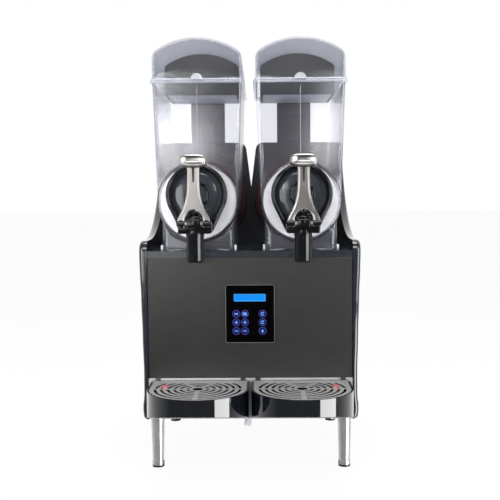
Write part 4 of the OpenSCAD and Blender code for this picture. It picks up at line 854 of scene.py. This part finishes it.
def tapPieces(side, x0):
    s = tap
    body = f"bowl_unit_{side}"
    centre, floor, low, high = s["centreZ"], s["floor"], s["blockLow"], s["blockHigh"]
    sweep = math.pi - 2 * s["ringStart"]
    outline = [around(x0, centre, s["ringRadius"], s["ringStart"] + sweep * k / 56) for k in range(57)]
    lowLeft, lowRight = (x0 - s["blockHalf"], low + 2), (x0 + s["blockHalf"], low + 2)
    outline += (along(outline[-1], lowLeft, 4)[1:] + along(lowLeft, lowRight, 6)
                + along(lowRight, outline[0], 4))
    bm = bmesh.new()
    shoulder, half = s["ringFront"] + s["ringEase"], s["ringWall"] / 2
    rows = [(0, s["ringBack"]), (0, shoulder + 4)]
    rows += [(half * (1 - math.cos(math.pi * k / 8)), shoulder - s["ringEase"] * math.sin(math.pi * k / 8))
             for k in range(9)]
    rows += [(s["ringWall"] + 0.4, floor - 1.5), (s["ringWall"] + 1.6, floor)]
    loops = [facing(inward(outline, inset), y) for inset, y in rows]
    inner = [(x, z) for x, y, z in loops[-1]]
    loops += [drawnIn(inner, x0, centre, share, floor) for share in (0.75, 0.5, 0.25)]
    skin(bm, loops, capFirst=True, capLast=True)
    finishPiece(f"tapRing_{side}", bm, body, "tap_black", [f"tap_body_{side}"], sharp=40)

    # The face inside the ring rises a little towards the hub
    bm = bmesh.new()
    face = inward(outline, s["ringWall"] + 1.4)
    skin(bm, [drawnIn(face, x0, centre, share, floor - 0.1 - rise)
              for share, rise in ((1, 0), (0.985, 0.6), (0.75, 2.2), (0.5, 3.6), (0.3, 4.2))], capLast=True)
    # The face takes the lighter finish with its painted reflection
    finishPiece(f"tapFace_{side}", bm, body, "tap_black", finish=tapFacePaintedSheen)

    # The hub: a toothed ring round a shallow recess
    bm = bmesh.new()
    steps, front = s["hubTeeth"] * 6, s["hubFront"]
    rows = [(1.0, floor + 0.5), (1.0, front + 1), (0.96, front), (0.80, front), (0.76, front + 1),
            (0.74, floor - 2), (0.45, floor - 2), (0.40, floor - 5), (0.2, floor - 5.5)]
    loops = []
    for share, y in rows:
        depths = [s["toothDepth"] if share > 0.9 and k % 6 in (1, 2) else 0 for k in range(steps)]
        loops.append(facing([around(x0, centre, s["hubRadius"] * share - depth, 2 * math.pi * k / steps)
                             for k, depth in enumerate(depths)], y))
    skin(bm, loops, capFirst=True, capLast=True)
    finishPiece(f"tapHub_{side}", bm, body, "tap_black", edge=0.5, sharp=40)

    # The valve block, its roof-shaped guides, and the pivot's boss and pin
    bm = bmesh.new()
    front, pivotY, pivotZ = s["blockFront"], s["pivotY"], s["pivotZ"]
    roundedBlock(bm, (x0 - s["blockHalf"], front, low),
                 (x0 + s["blockHalf"], s["ringBack"], high - s["blockStep"]), 3)
    roundedBlock(bm, (x0 - s["guideHalf"], front + 0.5, high - s["guideHeight"]),
                 (x0 + s["guideHalf"], floor, high), 3)
    for hand in (-1, 1):
        plate = [(hand * x, high - drop) for x, drop in ((6, 13), (27, 26), (29, 20), (16, 8), (8, 4))]
        skin(bm, [facing(plate, y, x0) for y in (front + 2, front - 3)], capFirst=True, capLast=True)
    roundedBlock(bm, (x0 - s["bossHalf"], pivotY - s["bossReach"], pivotZ - s["bossHeight"] / 2),
                 (x0 + s["bossHalf"], front + 1, pivotZ + s["bossHeight"] / 2), 2)
    reach, r = s["pivotReach"], s["pivotRadius"]
    turned(bm, [(0.01, -reach), (r - 0.8, -reach), (r, 1 - reach), (r, reach - 1), (r - 0.8, reach),
                (0.01, reach)], "x", (x0, pivotY, pivotZ), 24)
    finishPiece(f"tapBlock_{side}", bm, body, "tap_black")

    # The nozzle, with a lip round its mouth and a collar under the block
    bm = bmesh.new()
    r, b, mouth = s["nozzleRadius"], s["boreRadius"], nozzleZ
    turned(bm, [(b, mouth + 30), (b, mouth + 1.2), (b + 0.6, mouth + 0.2), (r - 3.4, mouth),
                (r - 1.6, mouth + 0.9), (r - 0.5, mouth + 2.6), (r, mouth + 5.5), (r, low - 6),
                (r + 0.6, low - 4), (r + 0.6, low + 6), (r - 4, low + 10), (b, low + 10), (b, mouth + 30)],
           "z", (x0, s["nozzleAxis"], 0), 64)
    finishPiece(f"tapNozzle_{side}", bm, body, "tap_black")


# Levers: an oval thumb pad on a stem that opens into a fork, the front face sunk between raised edges

lever = {
    "thickness": 12.0,
    "rim": 3.2,               # width of the raised edge
    "sink": 1.6,              # depth of the face between the edges
    "padZ": 606.0,
    "padWidth": 50.0,
    "padHeight": 24.0,
    "padBack": 7.0,           # the pad's back lies behind the pivot
    "legReach": 30.0,
    "legInner": 17.3,
    "eyeRadius": 8.0,
}

# Half widths of the lever above its pivot: height, outer edge, inner edge
leverRows = [(-6, 27.5, 17.3), (-1, 29.5, 17.3), (5, 30, 17.3), (11, 28.3, 16.6), (16, 25.8, 14.6),
             (20, 23.6, 11.6), (23.5, 21.8, 7.8), (26, 20.6, 3.8), (27, 20.0, 0), (34, 17.2, 0),
             (42, 14.8, 0), (52, 12.6, 0), (64, 11.4, 0), (78, 10.8, 0), (92, 10.6, 0), (103, 11.0, 0)]


def leverPieces(side, x0):
    s = lever
    body = f"lever_unit_{side}"
    pivotY, pivotZ = tap["pivotY"], tap["pivotZ"]
    front = pivotY - s["thickness"] / 2

    # One half as rows of points from the outer edge inward, with 1 where the face is sunk between its edges
    grid = []
    for rise, outer, inner in leverRows:
        rim = min(s["rim"], (outer - inner) * 0.35)
        start, end = outer - rim, inner + rim if inner else 0
        row = [(outer, 0), (outer - rim * 0.55, 0)] + [(start + (end - start) * k / 3, 1) for k in range(4)]
        row += [(inner + rim * 0.45, 0), (inner, 0)] if inner else [(0, 1), (0, 1)]
        grid.append([(x, pivotZ + rise, sunk) for x, sunk in row])
    bm = bmesh.new()
    forked = sum(1 for row in leverRows if row[2]) + 1      # above these rows the two halves meet
    for hand in (-1, 1):
        frontRows, backRows = [
            [[bm.verts.new(at(x0 + hand * x, y + sink * sunk, z)) for x, z, sunk in row] for row in grid]
            for y, sink in ((front, s["sink"]), (front + s["thickness"], 0))]
        for rows in (frontRows, backRows):
            for low, high in zip(rows, rows[1:]):
                bridge(bm, low, high)
        for i, count in ((0, len(grid)), (-1, forked)):
            bridge(bm, [row[i] for row in frontRows[:count]], [row[i] for row in backRows[:count]])
        for k in (0, -1):
            bridge(bm, frontRows[k], backRows[k])
    finishPiece(f"leverFork_{side}", bm, body, "satin_lever", [f"tap_lever_{side}"], edge=1.1)

    # The thumb pad: an oval with a hollow in its upper face
    bm = bmesh.new()
    wide, tall = s["padWidth"] / 2, s["padHeight"] / 2
    oval = [(math.copysign(abs(u) ** 0.5, u) * wide, math.copysign(abs(v) ** 0.7, v) * tall)
            for u, v in (around(0, 0, 1, 2 * math.pi * k / 56) for k in range(56))]
    rows = [(0.10, 0.0, 0), (0.60, 0.4, 0), (0.88, 2.2, 0), (1.0, 6.5, 0), (1.0, 10.5, 0), (0.97, 14.5, 0),
            (0.90, 17.6, 0), (0.83, 18.8, 0.6), (0.77, 18.4, 1.2), (0.66, 16.2, 2.0), (0.5, 14.6, 2.4),
            (0.3, 13.8, 2.6), (0.1, 13.6, 2.6)]
    loops = []
    for share, depth, up in rows:
        y = pivotY + s["padBack"] - depth
        tallShare = share if share > 0.84 else share * 0.86      # the hollow is flatter than the pad
        loops.append([(x0 + x * share, y, s["padZ"] + z * tallShare + up) for x, z in oval])
    skin(bm, loops, capFirst=True, capLast=True)
    finishPiece(f"leverPad_{side}", bm, body, "satin_lever", sharp=60)

    # The stem's groove, drawn as a black strip of painted shade, and the eyes that turn on the pin
    bm = bmesh.new()
    grooveShade = [(x, pivotZ + rise) for x, rise in ((-1.3, 76), (1.3, 76), (2.4, 103), (-2.4, 103))]
    skin(bm, [facing(grooveShade, y, x0) for y in (front + 2, front + 0.9)], capFirst=True, capLast=True)
    finishPiece(f"leverGrooveShade_{side}", bm, body, "black_rubber")
    bm = bmesh.new()
    r, hole = s["eyeRadius"], tap["pivotRadius"] + 0.15
    for hand in (-1, 1):
        low, high = sorted((hand * s["legInner"], hand * s["legReach"]))
        turned(bm, [(hole, low), (r - 1, low), (r, low + 1), (r, high - 1), (r - 1, high), (hole, high),
                    (hole, low)], "x", (x0, pivotY, pivotZ), 32)
    finishPiece(f"leverEyes_{side}", bm, body, "tap_black")


# Pistons: a round stem under a ribbed crown with two wings that the lever's cams lift

piston = {"stemRadius": 11.9, "crownRadius": 15.5, "crownTop": 12.0, "ribHalf": 1.6, "ribBack": 8.0,
          "wingInner": 5.0, "wingReach": 27.0, "wingFront": 10.0, "wingBack": 6.0, "wingHeight": 4.0}


def pistonPieces(side, x0):
    s = piston
    base, top = (end[2] for end in corner(f"tap_piston_{side}"))
    crown, axis = top - s["crownTop"], tap["nozzleAxis"]
    r, c = s["stemRadius"], s["crownRadius"]
    bm = bmesh.new()
    turned(bm, [(0.01, base), (r - 1, base), (r, base + 1), (r, crown), (c - 0.6, crown), (c, crown + 0.8),
                (c - 0.4, crown + 3.5), (c - 4, crown + 9), (c - 7.5, top - 0.5), (c - 9, top), (0.01, top)],
           "z", (x0, axis, 0), 48)
    roundedBlock(bm, (x0 - s["ribHalf"], axis - c - 0.4, crown + 0.5),
                 (x0 + s["ribHalf"], axis + s["ribBack"], top - 1.2), 0.7)
    wingTop = top - 0.3
    for hand in (-1, 1):
        a, b = sorted((hand * s["wingInner"], hand * s["wingReach"]))
        roundedBlock(bm, (x0 + a, axis - s["wingFront"], wingTop - s["wingHeight"]),
                     (x0 + b, axis + s["wingBack"], wingTop), 1.2)
    finishPiece(f"pistonCrown_{side}", bm, f"piston_unit_{side}", "tap_black", [f"tap_piston_{side}"])


# Skirts: each bowl stands on an apron with rounded front corners, notched for the round bowl, and small feet

skirt = {"half": 71.0, "corner": 12.0, "front": 18.0, "top": 496.0, "wall": 3.5, "noseRadius": 79.2,
         "footReach": 4.0, "footHeight": 10.0, "footFront": 6.0, "footBack": 8.0}


def skirtPieces(side, x0):
    s = skirt
    body = f"bowl_unit_{side}"
    half, bend, front, top, low = s["half"], s["corner"], s["front"], s["top"], deckZ + 0.3
    path = along((half, bowlHigh[1] - 7), (half, front + bend), 6) + [(half, front + bend)]
    path += [(half - inset, front + drop) for inset, drop in quarterBend(bend, 6, 1)]
    path += along((half - bend, front), (0, front), 24)[1:] + [(0, front)]
    path += [(-x, y) for x, y in path[-2::-1]]

    # The apron's front ends under the round bowl
    def topAt(x, y):
        hug = axisZ - math.sqrt(max(s["noseRadius"] ** 2 - x * x, 0))
        return top if y > front + bend - 0.01 else min(top, hug)

    bm = bmesh.new()
    skin(bm, [[(x0 + x, y, low + (topAt(x, y) - low) * t) for x, y in path] for t in (0, 0.25, 0.5, 0.75, 1)],
         closed=False)
    finishPiece(f"bowlSkirt_{side}", bm, body, "clear_bowl", finish=hazyBowl, wall=s["wall"], sharp=50)
    bm = bmesh.new()
    for hand in (-1, 1):
        a, b = sorted((hand * (half - 0.5), hand * (half + s["footReach"])))
        roundedBlock(bm, (x0 + a, front + bend - s["footFront"], low),
                     (x0 + b, front + bend + s["footBack"], low + s["footHeight"]), 1.2)
    finishPiece(f"bowlFeet_{side}", bm, body, "clear_bowl", finish=finishes["drain_plastic"])


# Side panels: moulded covers that sweep up to the tall back, swell below the shoulder and flare at the foot

panel = {
    "shoulderRise": 20.0,     # over the deck
    "shoulder": 22.0,         # radius of the shoulder's bend
    "edge": 8.0,              # roundness of the outer edge
    "sweepStart": 60.0,
    "sweepMiddle": 230.0,
    "sweepLate": 348.0,
    "sweepRise": 0.49,
    "flatBack": 18.0,
}

# How far the outside stands out at heights above the floor
panelReach = [(103, 209.0), (108, 211.6), (114, 212.6), (127, 212.9), (150, 210.4), (190, 210.2),
              (270, 211.9), (345, 213.7), (400, 215.8), (428, 216.5), (520, 216.5), (680, 216.5)]


def reachAt(z):
    for (z0, x0), (z1, x1) in zip(panelReach, panelReach[1:]):
        if z <= z1:
            t = min(max((z - z0) / (z1 - z0), 0), 1)
            return x0 + (x1 - x0) * t * t * (3 - 2 * t)
    return panelReach[-1][1]


def bezierPoint(points, t):
    while len(points) > 1:
        points = [(a[0] + (b[0] - a[0]) * t, a[1] + (b[1] - a[1]) * t) for a, b in zip(points, points[1:])]
    return points[0]


# A patch of faces inside a closed loop whose four sides have up, across, up and across steps
def fillPatch(bm, loop, up, across, place):
    front, top = loop[:up + 1], loop[up:up + across + 1]
    back = loop[up + across:2 * up + across + 1][::-1]
    bottom = (loop[2 * up + across:] + loop[:1])[::-1]
    rows = [bottom]
    for i in range(1, up):
        v = i / up
        row = [front[i]]
        for j in range(1, across):
            u = j / across
            flat = ((1 - v) * bottom[j].co + v * top[j].co + (1 - u) * front[i].co + u * back[i].co
                    - (1 - u) * (1 - v) * bottom[0].co - u * (1 - v) * bottom[-1].co
                    - (1 - u) * v * top[0].co - u * v * top[-1].co)
            row.append(bm.verts.new(place(flat)))
        rows.append(row + [back[i]])
    rows.append(top)
    for low, high in zip(rows, rows[1:]):
        bridge(bm, low, high)


def sidePanelPiece(side, sign):
    s = panel
    low, high = corner(f"side_panel_{side}")
    inner = min(abs(low[0]), abs(high[0]))
    front, back, bottom, top = low[1], high[1], low[2], high[2]
    up, arcSteps, sweepSteps = 28, 8, 28
    across = arcSteps + 3 + sweepSteps + 2
    bend, shoulderZ, sweepEnd = s["shoulder"], deckZ + s["shoulderRise"], back - s["flatBack"]
    ledge = shoulderZ - bend

    # Up the front edge, round the shoulder, along the sweep, over the flat back and round the foot
    def outlineAt(inset):
        first, last, foot, roof = front + inset, back - inset, bottom + inset, top - inset
        shoulderTop, sweepTop = shoulderZ - inset, (sweepEnd + inset, roof)
        sweep = [(s["sweepStart"], shoulderTop), (s["sweepMiddle"], shoulderTop),
                 (s["sweepLate"], shoulderTop + (top - shoulderZ) * s["sweepRise"]), sweepTop]
        points = along((first, foot), (first, ledge), up)
        points += [around(front + bend, ledge, bend - inset, math.pi - math.pi / 2 * k / arcSteps)
                   for k in range(arcSteps)]
        points += along((front + bend, shoulderTop), sweep[0], 3)
        points += [bezierPoint(sweep, k / sweepSteps) for k in range(sweepSteps)]
        return (points + along(sweepTop, (last, roof), 2) + along((last, roof), (last, foot), up)
                + along((last, foot), (first, foot), across))

    bm = bmesh.new()
    loops = [[(sign * inner, y, z) for y, z in outlineAt(0)]]
    for inset, drop in quarterBend(s["edge"], 6):
        loops.append([(sign * (reachAt(z) - drop), y, z) for y, z in outlineAt(inset)])
    made = skin(bm, loops, capFirst=True)
    fillPatch(bm, made[-1], up, across, lambda p: Vector((sign * reachAt(p.z / mm) * mm, p.y, p.z)))
    finishPiece(f"sideCover_{side}", bm, "cabinet", "side_gloss", [f"side_panel_{side}"], sharp=60)


# Trays, grids, panels and other plain CAD parts get small rounded edges over their own meshes

softNodes = {
    "drip_tray_left": 0.6, "drip_tray_right": 0.6, "drip_grid_left": 0.5, "drip_grid_right": 0.5,
    "front_panel": 1.2, "lower_front_plate": 0.8, "rear_housing": 2.0,
    "light_columns": 2.0, "base_pan": 0.8, "power_inlet": 0.4,
    "power_rocker": 0.4, "auger_left": 0.6, "auger_right": 0.6, "evaporators": 1.0,
    "bowl_gaskets": 1.0, "drain_tube": 0.6, "legs": 0.5, "foot_tips": 0.8, "case_screws": 0.3,
}


def softenNode(node, width):
    piece = cadNodes[node]
    piece.modifiers.new("weld", "WELD").merge_threshold = 0.00001
    piece.data.polygons.foreach_set("use_smooth", [True] * len(piece.data.polygons))
    piece.data.set_sharp_from_angle(angle=math.radians(35))
    softenEdges(piece, width, angle=35)


# Light boxes: dark arched covers under the lids, held by two small clips, with a pale light panel beneath

lightBox = {"wall": 2.5, "edge": 2.0, "clipOut": 20.0, "clipWidth": 4.0, "clipHeight": 4.5, "clipDepth": 9.0,
            "backGap": 8.0, "tailHalf": 30.0, "tailLow": 55.0, "tailHigh": 40.0, "panelIn": 6.0,
            "panelRecess": 1.5}


def lightBoxPieces(side, x0):
    s = lightBox
    body = f"lid_unit_{side}"
    front, low, high = boxLow[1], boxLow[2], boxHigh[2]
    back = lidBox[1][1] - lid["wall"] - s["backGap"]
    inset = bowl["topHalf"] - (boxHigh[0] - boxLow[0]) / 2

    # The lid's arch, drawn in and closed by a flat underside
    def ringAt(extra):
        arch = [(x, max(z, low + extra)) for x, z in archOutline(inset + extra)]
        arch[0], arch[-1] = (arch[0][0], low + extra), (arch[-1][0], low + extra)
        return arch + along(arch[-1], arch[0], 12)[1:]

    rows = [(s["edge"], back), (0, back - s["edge"]), (0, front + s["edge"]), (0.6, front + 0.6),
            (s["edge"], front)]
    bm = bmesh.new()
    skin(bm, [facing(ringAt(extra), y, x0) for extra, y in rows], capFirst=True, capLast=True)
    roundedBlock(bm, (x0 - s["tailHalf"], back - 2, high - s["tailLow"]),
                 (x0 + s["tailHalf"], boxHigh[1], high - s["tailHigh"]), 1.5)
    finishPiece(f"lightCover_{side}", bm, body, "column_plastic", [f"light_box_{side}"])
    bm = bmesh.new()
    arch = lid["archRadius"]
    for middle in (-s["clipOut"], s["clipOut"]):
        top = lidTop - arch + math.sqrt(arch ** 2 - middle ** 2) - lid["wall"] - 0.3
        roundedBlock(bm, (x0 + middle - s["clipWidth"] / 2, front + 1, top - s["clipHeight"]),
                     (x0 + middle + s["clipWidth"] / 2, front + 1 + s["clipDepth"], top), 0.8)
    finishPiece(f"lightClips_{side}", bm, body, "clear_lid")
    bm = bmesh.new()
    half = ringAt(0)[0][0] - s["panelIn"]
    roundedBlock(bm, (x0 - half, front + s["panelIn"], low - 0.1),
                 (x0 + half, back - s["panelIn"], low + s["panelRecess"]), 0.6)
    finishPiece(f"lightPanel_{side}", bm, body, "column_plastic", finish=frostedPanel)


# Fascia, display and keys: a thin outline, a lit window and small lit signs on the key caps

fascia = {"width": 96.0, "height": 114.0, "thickness": 3.0, "corner": 4.0, "outline": 0.9, "z": 312.0,
          "displayWidth": 61.0, "displayHeight": 13.5}
keys = {"radius": 7.4, "ring": 0.55, "stroke": 1.6, "lift": 0.25}


# A closed flat ring between two outlines in X and Z, standing out from a face towards the front
def flatRing(bm, outer, inner, face, lift):
    skin(bm, [facing(outline, y) for outline, y in (
        (outer, face), (outer, face - lift), (inner, face - lift), (inner, face), (outer, face))])


# An outline in X and Z raised from a face towards the front
def raised(bm, outline, face, lift):
    skin(bm, [facing(outline, y) for y in (face, face - lift)], capLast=True)


# The outline of a ribbon of even width along a path
def ribbon(path, width):
    left, right = [], []
    for before, (x, z), after in zip(path[:1] + path, path, path[1:] + path[-1:]):
        way = Vector((after[0] - before[0], after[1] - before[1])).normalized() * width / 2
        left.append((x - way.y, z + way.x))
        right.append((x + way.y, z - way.x))
    return left + right[::-1]


def dropOutline():
    points = []
    for k in range(20):
        turn, round_ = 2 * math.pi * k / 20, 6 <= k < 15
        points.append((2.3 * math.sin(turn) * (1 if round_ else 0.5 + min(k, 20 - k) / 12),
                       (2.3 if round_ else 3.6) * math.cos(turn) - 0.8))
    return points


# The signs about a key's middle, in mm: strokes that get the stroke's width, and filled outlines
turnPath = [around(0, 0, 2.7, math.radians(40 + 290 * k / 18)) for k in range(19)]
turnX, turnZ = turnPath[0]
strokesOf = {
    "plus": [[(-3.4, 0), (3.4, 0)], [(0, -3.4), (0, 3.4)]],
    "minus": [[(-3.6, 0), (3.6, 0)]],
    "wave": [[(-4.2 + 8.4 * k / 14, z + 1.2 * math.sin(2 * math.pi * k / 7)) for k in range(15)]
             for z in (-1.6, 1.6)],
    "loop": [turnPath, [(turnX - 1.8, turnZ + 0.4), (turnX, turnZ), (turnX + 0.4, turnZ + 1.9)]],
}
fillsOf = {
    "bow": [(-3.2, 2.4), (-3.2, -2.4), (0, -0.5), (3.2, -2.4), (3.2, 2.4), (0, 0.5)],
    "drop": dropOutline(),
}
keySigns = {
    "key_top_left": "bow", "key_top_middle": "wave", "key_top_right": "loop",
    "key_mid_left": "plus", "key_mid_middle": "plus", "key_mid_right": "loop",
    "key_low_left": "minus", "key_low_middle": "minus", "key_low_right": "drop",
}


def fasciaPieces():
    s, k = fascia, keys
    face = -s["thickness"]
    wide, tall = s["width"] / 2, s["height"] / 2
    outer = roundedRectangle(-wide, s["z"] - tall, wide, s["z"] + tall, s["corner"], 5)
    bm = bmesh.new()
    flatRing(bm, outer, inward(outer, s["outline"]), face, 0.15)
    finishPiece("fasciaOutline", bm, "cabinet", "fascia_glass", finish=greyInk)

    middle = placeOn(cadNodes["control_fascia"], "display")
    shownPlaces["display"] = at(*middle)
    wide, tall = s["displayWidth"] / 2, s["displayHeight"] / 2
    window = roundedRectangle(middle.x - wide, middle.z - tall, middle.x + wide, middle.z + tall, 0.8, 3)
    bm = bmesh.new()
    flatRing(bm, window, inward(window, 0.8), face, 0.12)
    finishPiece("displayFrame", bm, "cabinet", "display_blue", finish=windowLight)

    for node, sign in keySigns.items():
        low, high = corner(node)
        cx, cz, cap = (low[0] + high[0]) / 2, (low[2] + high[2]) / 2, low[1]
        edge = [around(cx, cz, k["radius"], 2 * math.pi * i / 40) for i in range(40)]
        bm = bmesh.new()
        flatRing(bm, edge, inward(edge, k["ring"]), cap, 0.12)
        finishPiece(f"{node}_ring", bm, bodyOfNode[node], "key_black", finish=keyRingLight)
        bm = bmesh.new()
        strokes = [ribbon(path, k["stroke"]) for path in strokesOf.get(sign, ())]
        for shape in strokes or [fillsOf[sign]]:
            raised(bm, [(cx + x, cz + z) for x, z in shape], cap, k["lift"])
        finishPiece(f"{node}_sign", bm, bodyOfNode[node], "display_blue", finish=signLight)


# Floats: round caps with four fins on a domed top

floatCap = {"dome": 3.2, "finHalf": 0.7, "finIn": 0.8, "finSink": 2.0, "finRise": 1.2}


def floatPiece(side):
    s = floatCap
    low, high = corner(f"float_{side}")
    cx, cy, r = (low[0] + high[0]) / 2, (low[1] + high[1]) / 2, (high[0] - low[0]) / 2
    base, top = low[2], high[2]
    bm = bmesh.new()
    turned(bm, [(0.01, base), (r - 0.6, base), (r, base + 0.6), (r, top - s["dome"]), (r - 0.7, top - 1.5),
                (r - 2.2, top - 0.4), (0.01, top)], "z", (cx, cy, 0), 40)
    long, half = r - s["finIn"], s["finHalf"]
    for x, y in ((long, half), (half, long)):
        roundedBlock(bm, (cx - x, cy - y, top - s["finSink"]), (cx + x, cy + y, top + s["finRise"]), 0.3)
    finishPiece(f"floatCap_{side}", bm, f"float_unit_{side}", "float_red", [f"float_{side}"])


# Feet: a steel ferrule covers each leg's rubber tip, over a thin red ring

feet = {"radius": 11.9, "wall": 1.2, "ringLow": 0.8, "ringHigh": 3.8, "sleeveIn": 0.6, "sleeveOut": 0.15,
        "sleeveLap": 0.4}


def footRings():
    s = feet
    tipLow, tipHigh = corner("foot_tips")
    r, low, high = s["radius"], s["ringLow"], s["ringHigh"]
    inside = r - s["wall"]
    sleeve = bandProfile(r - s["sleeveIn"], r + s["sleeveOut"], high + 0.2, tipHigh[2] + s["sleeveLap"])
    rings, sleeves = bmesh.new(), bmesh.new()
    for x in (tipLow[0] + r, tipHigh[0] - r):
        for y in (tipLow[1] + r, tipHigh[1] - r):
            turned(rings, [(inside, low), (r, low), (r + 0.1, low + 1.4), (r, high), (inside, high),
                           (inside, low)], "z", (x, y, 0), 40)
            turned(sleeves, sleeve, "z", (x, y, 0), 40)
    finishPiece("legFerrules", sleeves, "cabinet", "leg_steel")
    finishPiece("footRings", rings, "cabinet", "red_rubber")


for side, sign in sides.items():
    x0 = sign * bowlX
    bowlPieces(side, x0)
    skirtPieces(side, x0)
    lidPieces(side, x0)
    lightBoxPieces(side, x0)
    tapPieces(side, x0)
    leverPieces(side, x0)
    pistonPieces(side, x0)
    sidePanelPiece(side, sign)
    floatPiece(side)
print("bowls, lids, taps, levers and side panels made")
fasciaPieces()
footRings()
for nodeName, width in softNodes.items():
    softenNode(nodeName, width)
print("fascia, keys and feet made, CAD edges softened")


# The middle of what shows of a node: its front, at a share of its height
def middleOf(node, share=0.5):
    low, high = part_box(node)
    return Vector(((low.x + high.x) / 2, low.y, low.z + (high.z - low.z) * share))


def footFront(sign):
    low, high = corner("foot_tips")
    return at((high[0] - feet["radius"]) * sign, low[1], 1)


# Where each shown piece's points and each shown place fall in the image; nothing is kept or written
def writePoints():
    shown = [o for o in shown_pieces()]
    graph = bpy.context.evaluated_depsgraph_get()
    xs, ys = [], []
    for piece in shown:
        ready = piece.evaluated_get(graph)
        for vertex in ready.data.vertices:
            x, y = seenAt(ready.matrix_world @ vertex.co)
            xs.append(x)
            ys.append(y)
    for name, place in shownPlaces.items():
        x, y = seenAt(place)


shownPlaces.update({
    "leftPaddle": at(-bowlX, tap["pivotY"] - 3, lever["padZ"]),
    "rightPaddle": at(bowlX, tap["pivotY"] - 3, lever["padZ"]),
    "leftNozzleMouth": at(-bowlX, tap["nozzleAxis"] - tap["nozzleRadius"], nozzleZ),
    "rightNozzleMouth": at(bowlX, tap["nozzleAxis"] - tap["nozzleRadius"], nozzleZ),
    "keyTopLeft": middleOf("key_top_left"), "keyLowRight": middleOf("key_low_right"),
    "leftFloat": middleOf("float_left", 1), "rightFloat": middleOf("float_right", 1),
    "drainPlug": middleOf("drain_tube", 0.2),
    "leftFoot": footFront(-1), "rightFoot": footFront(1),
})
writePoints()
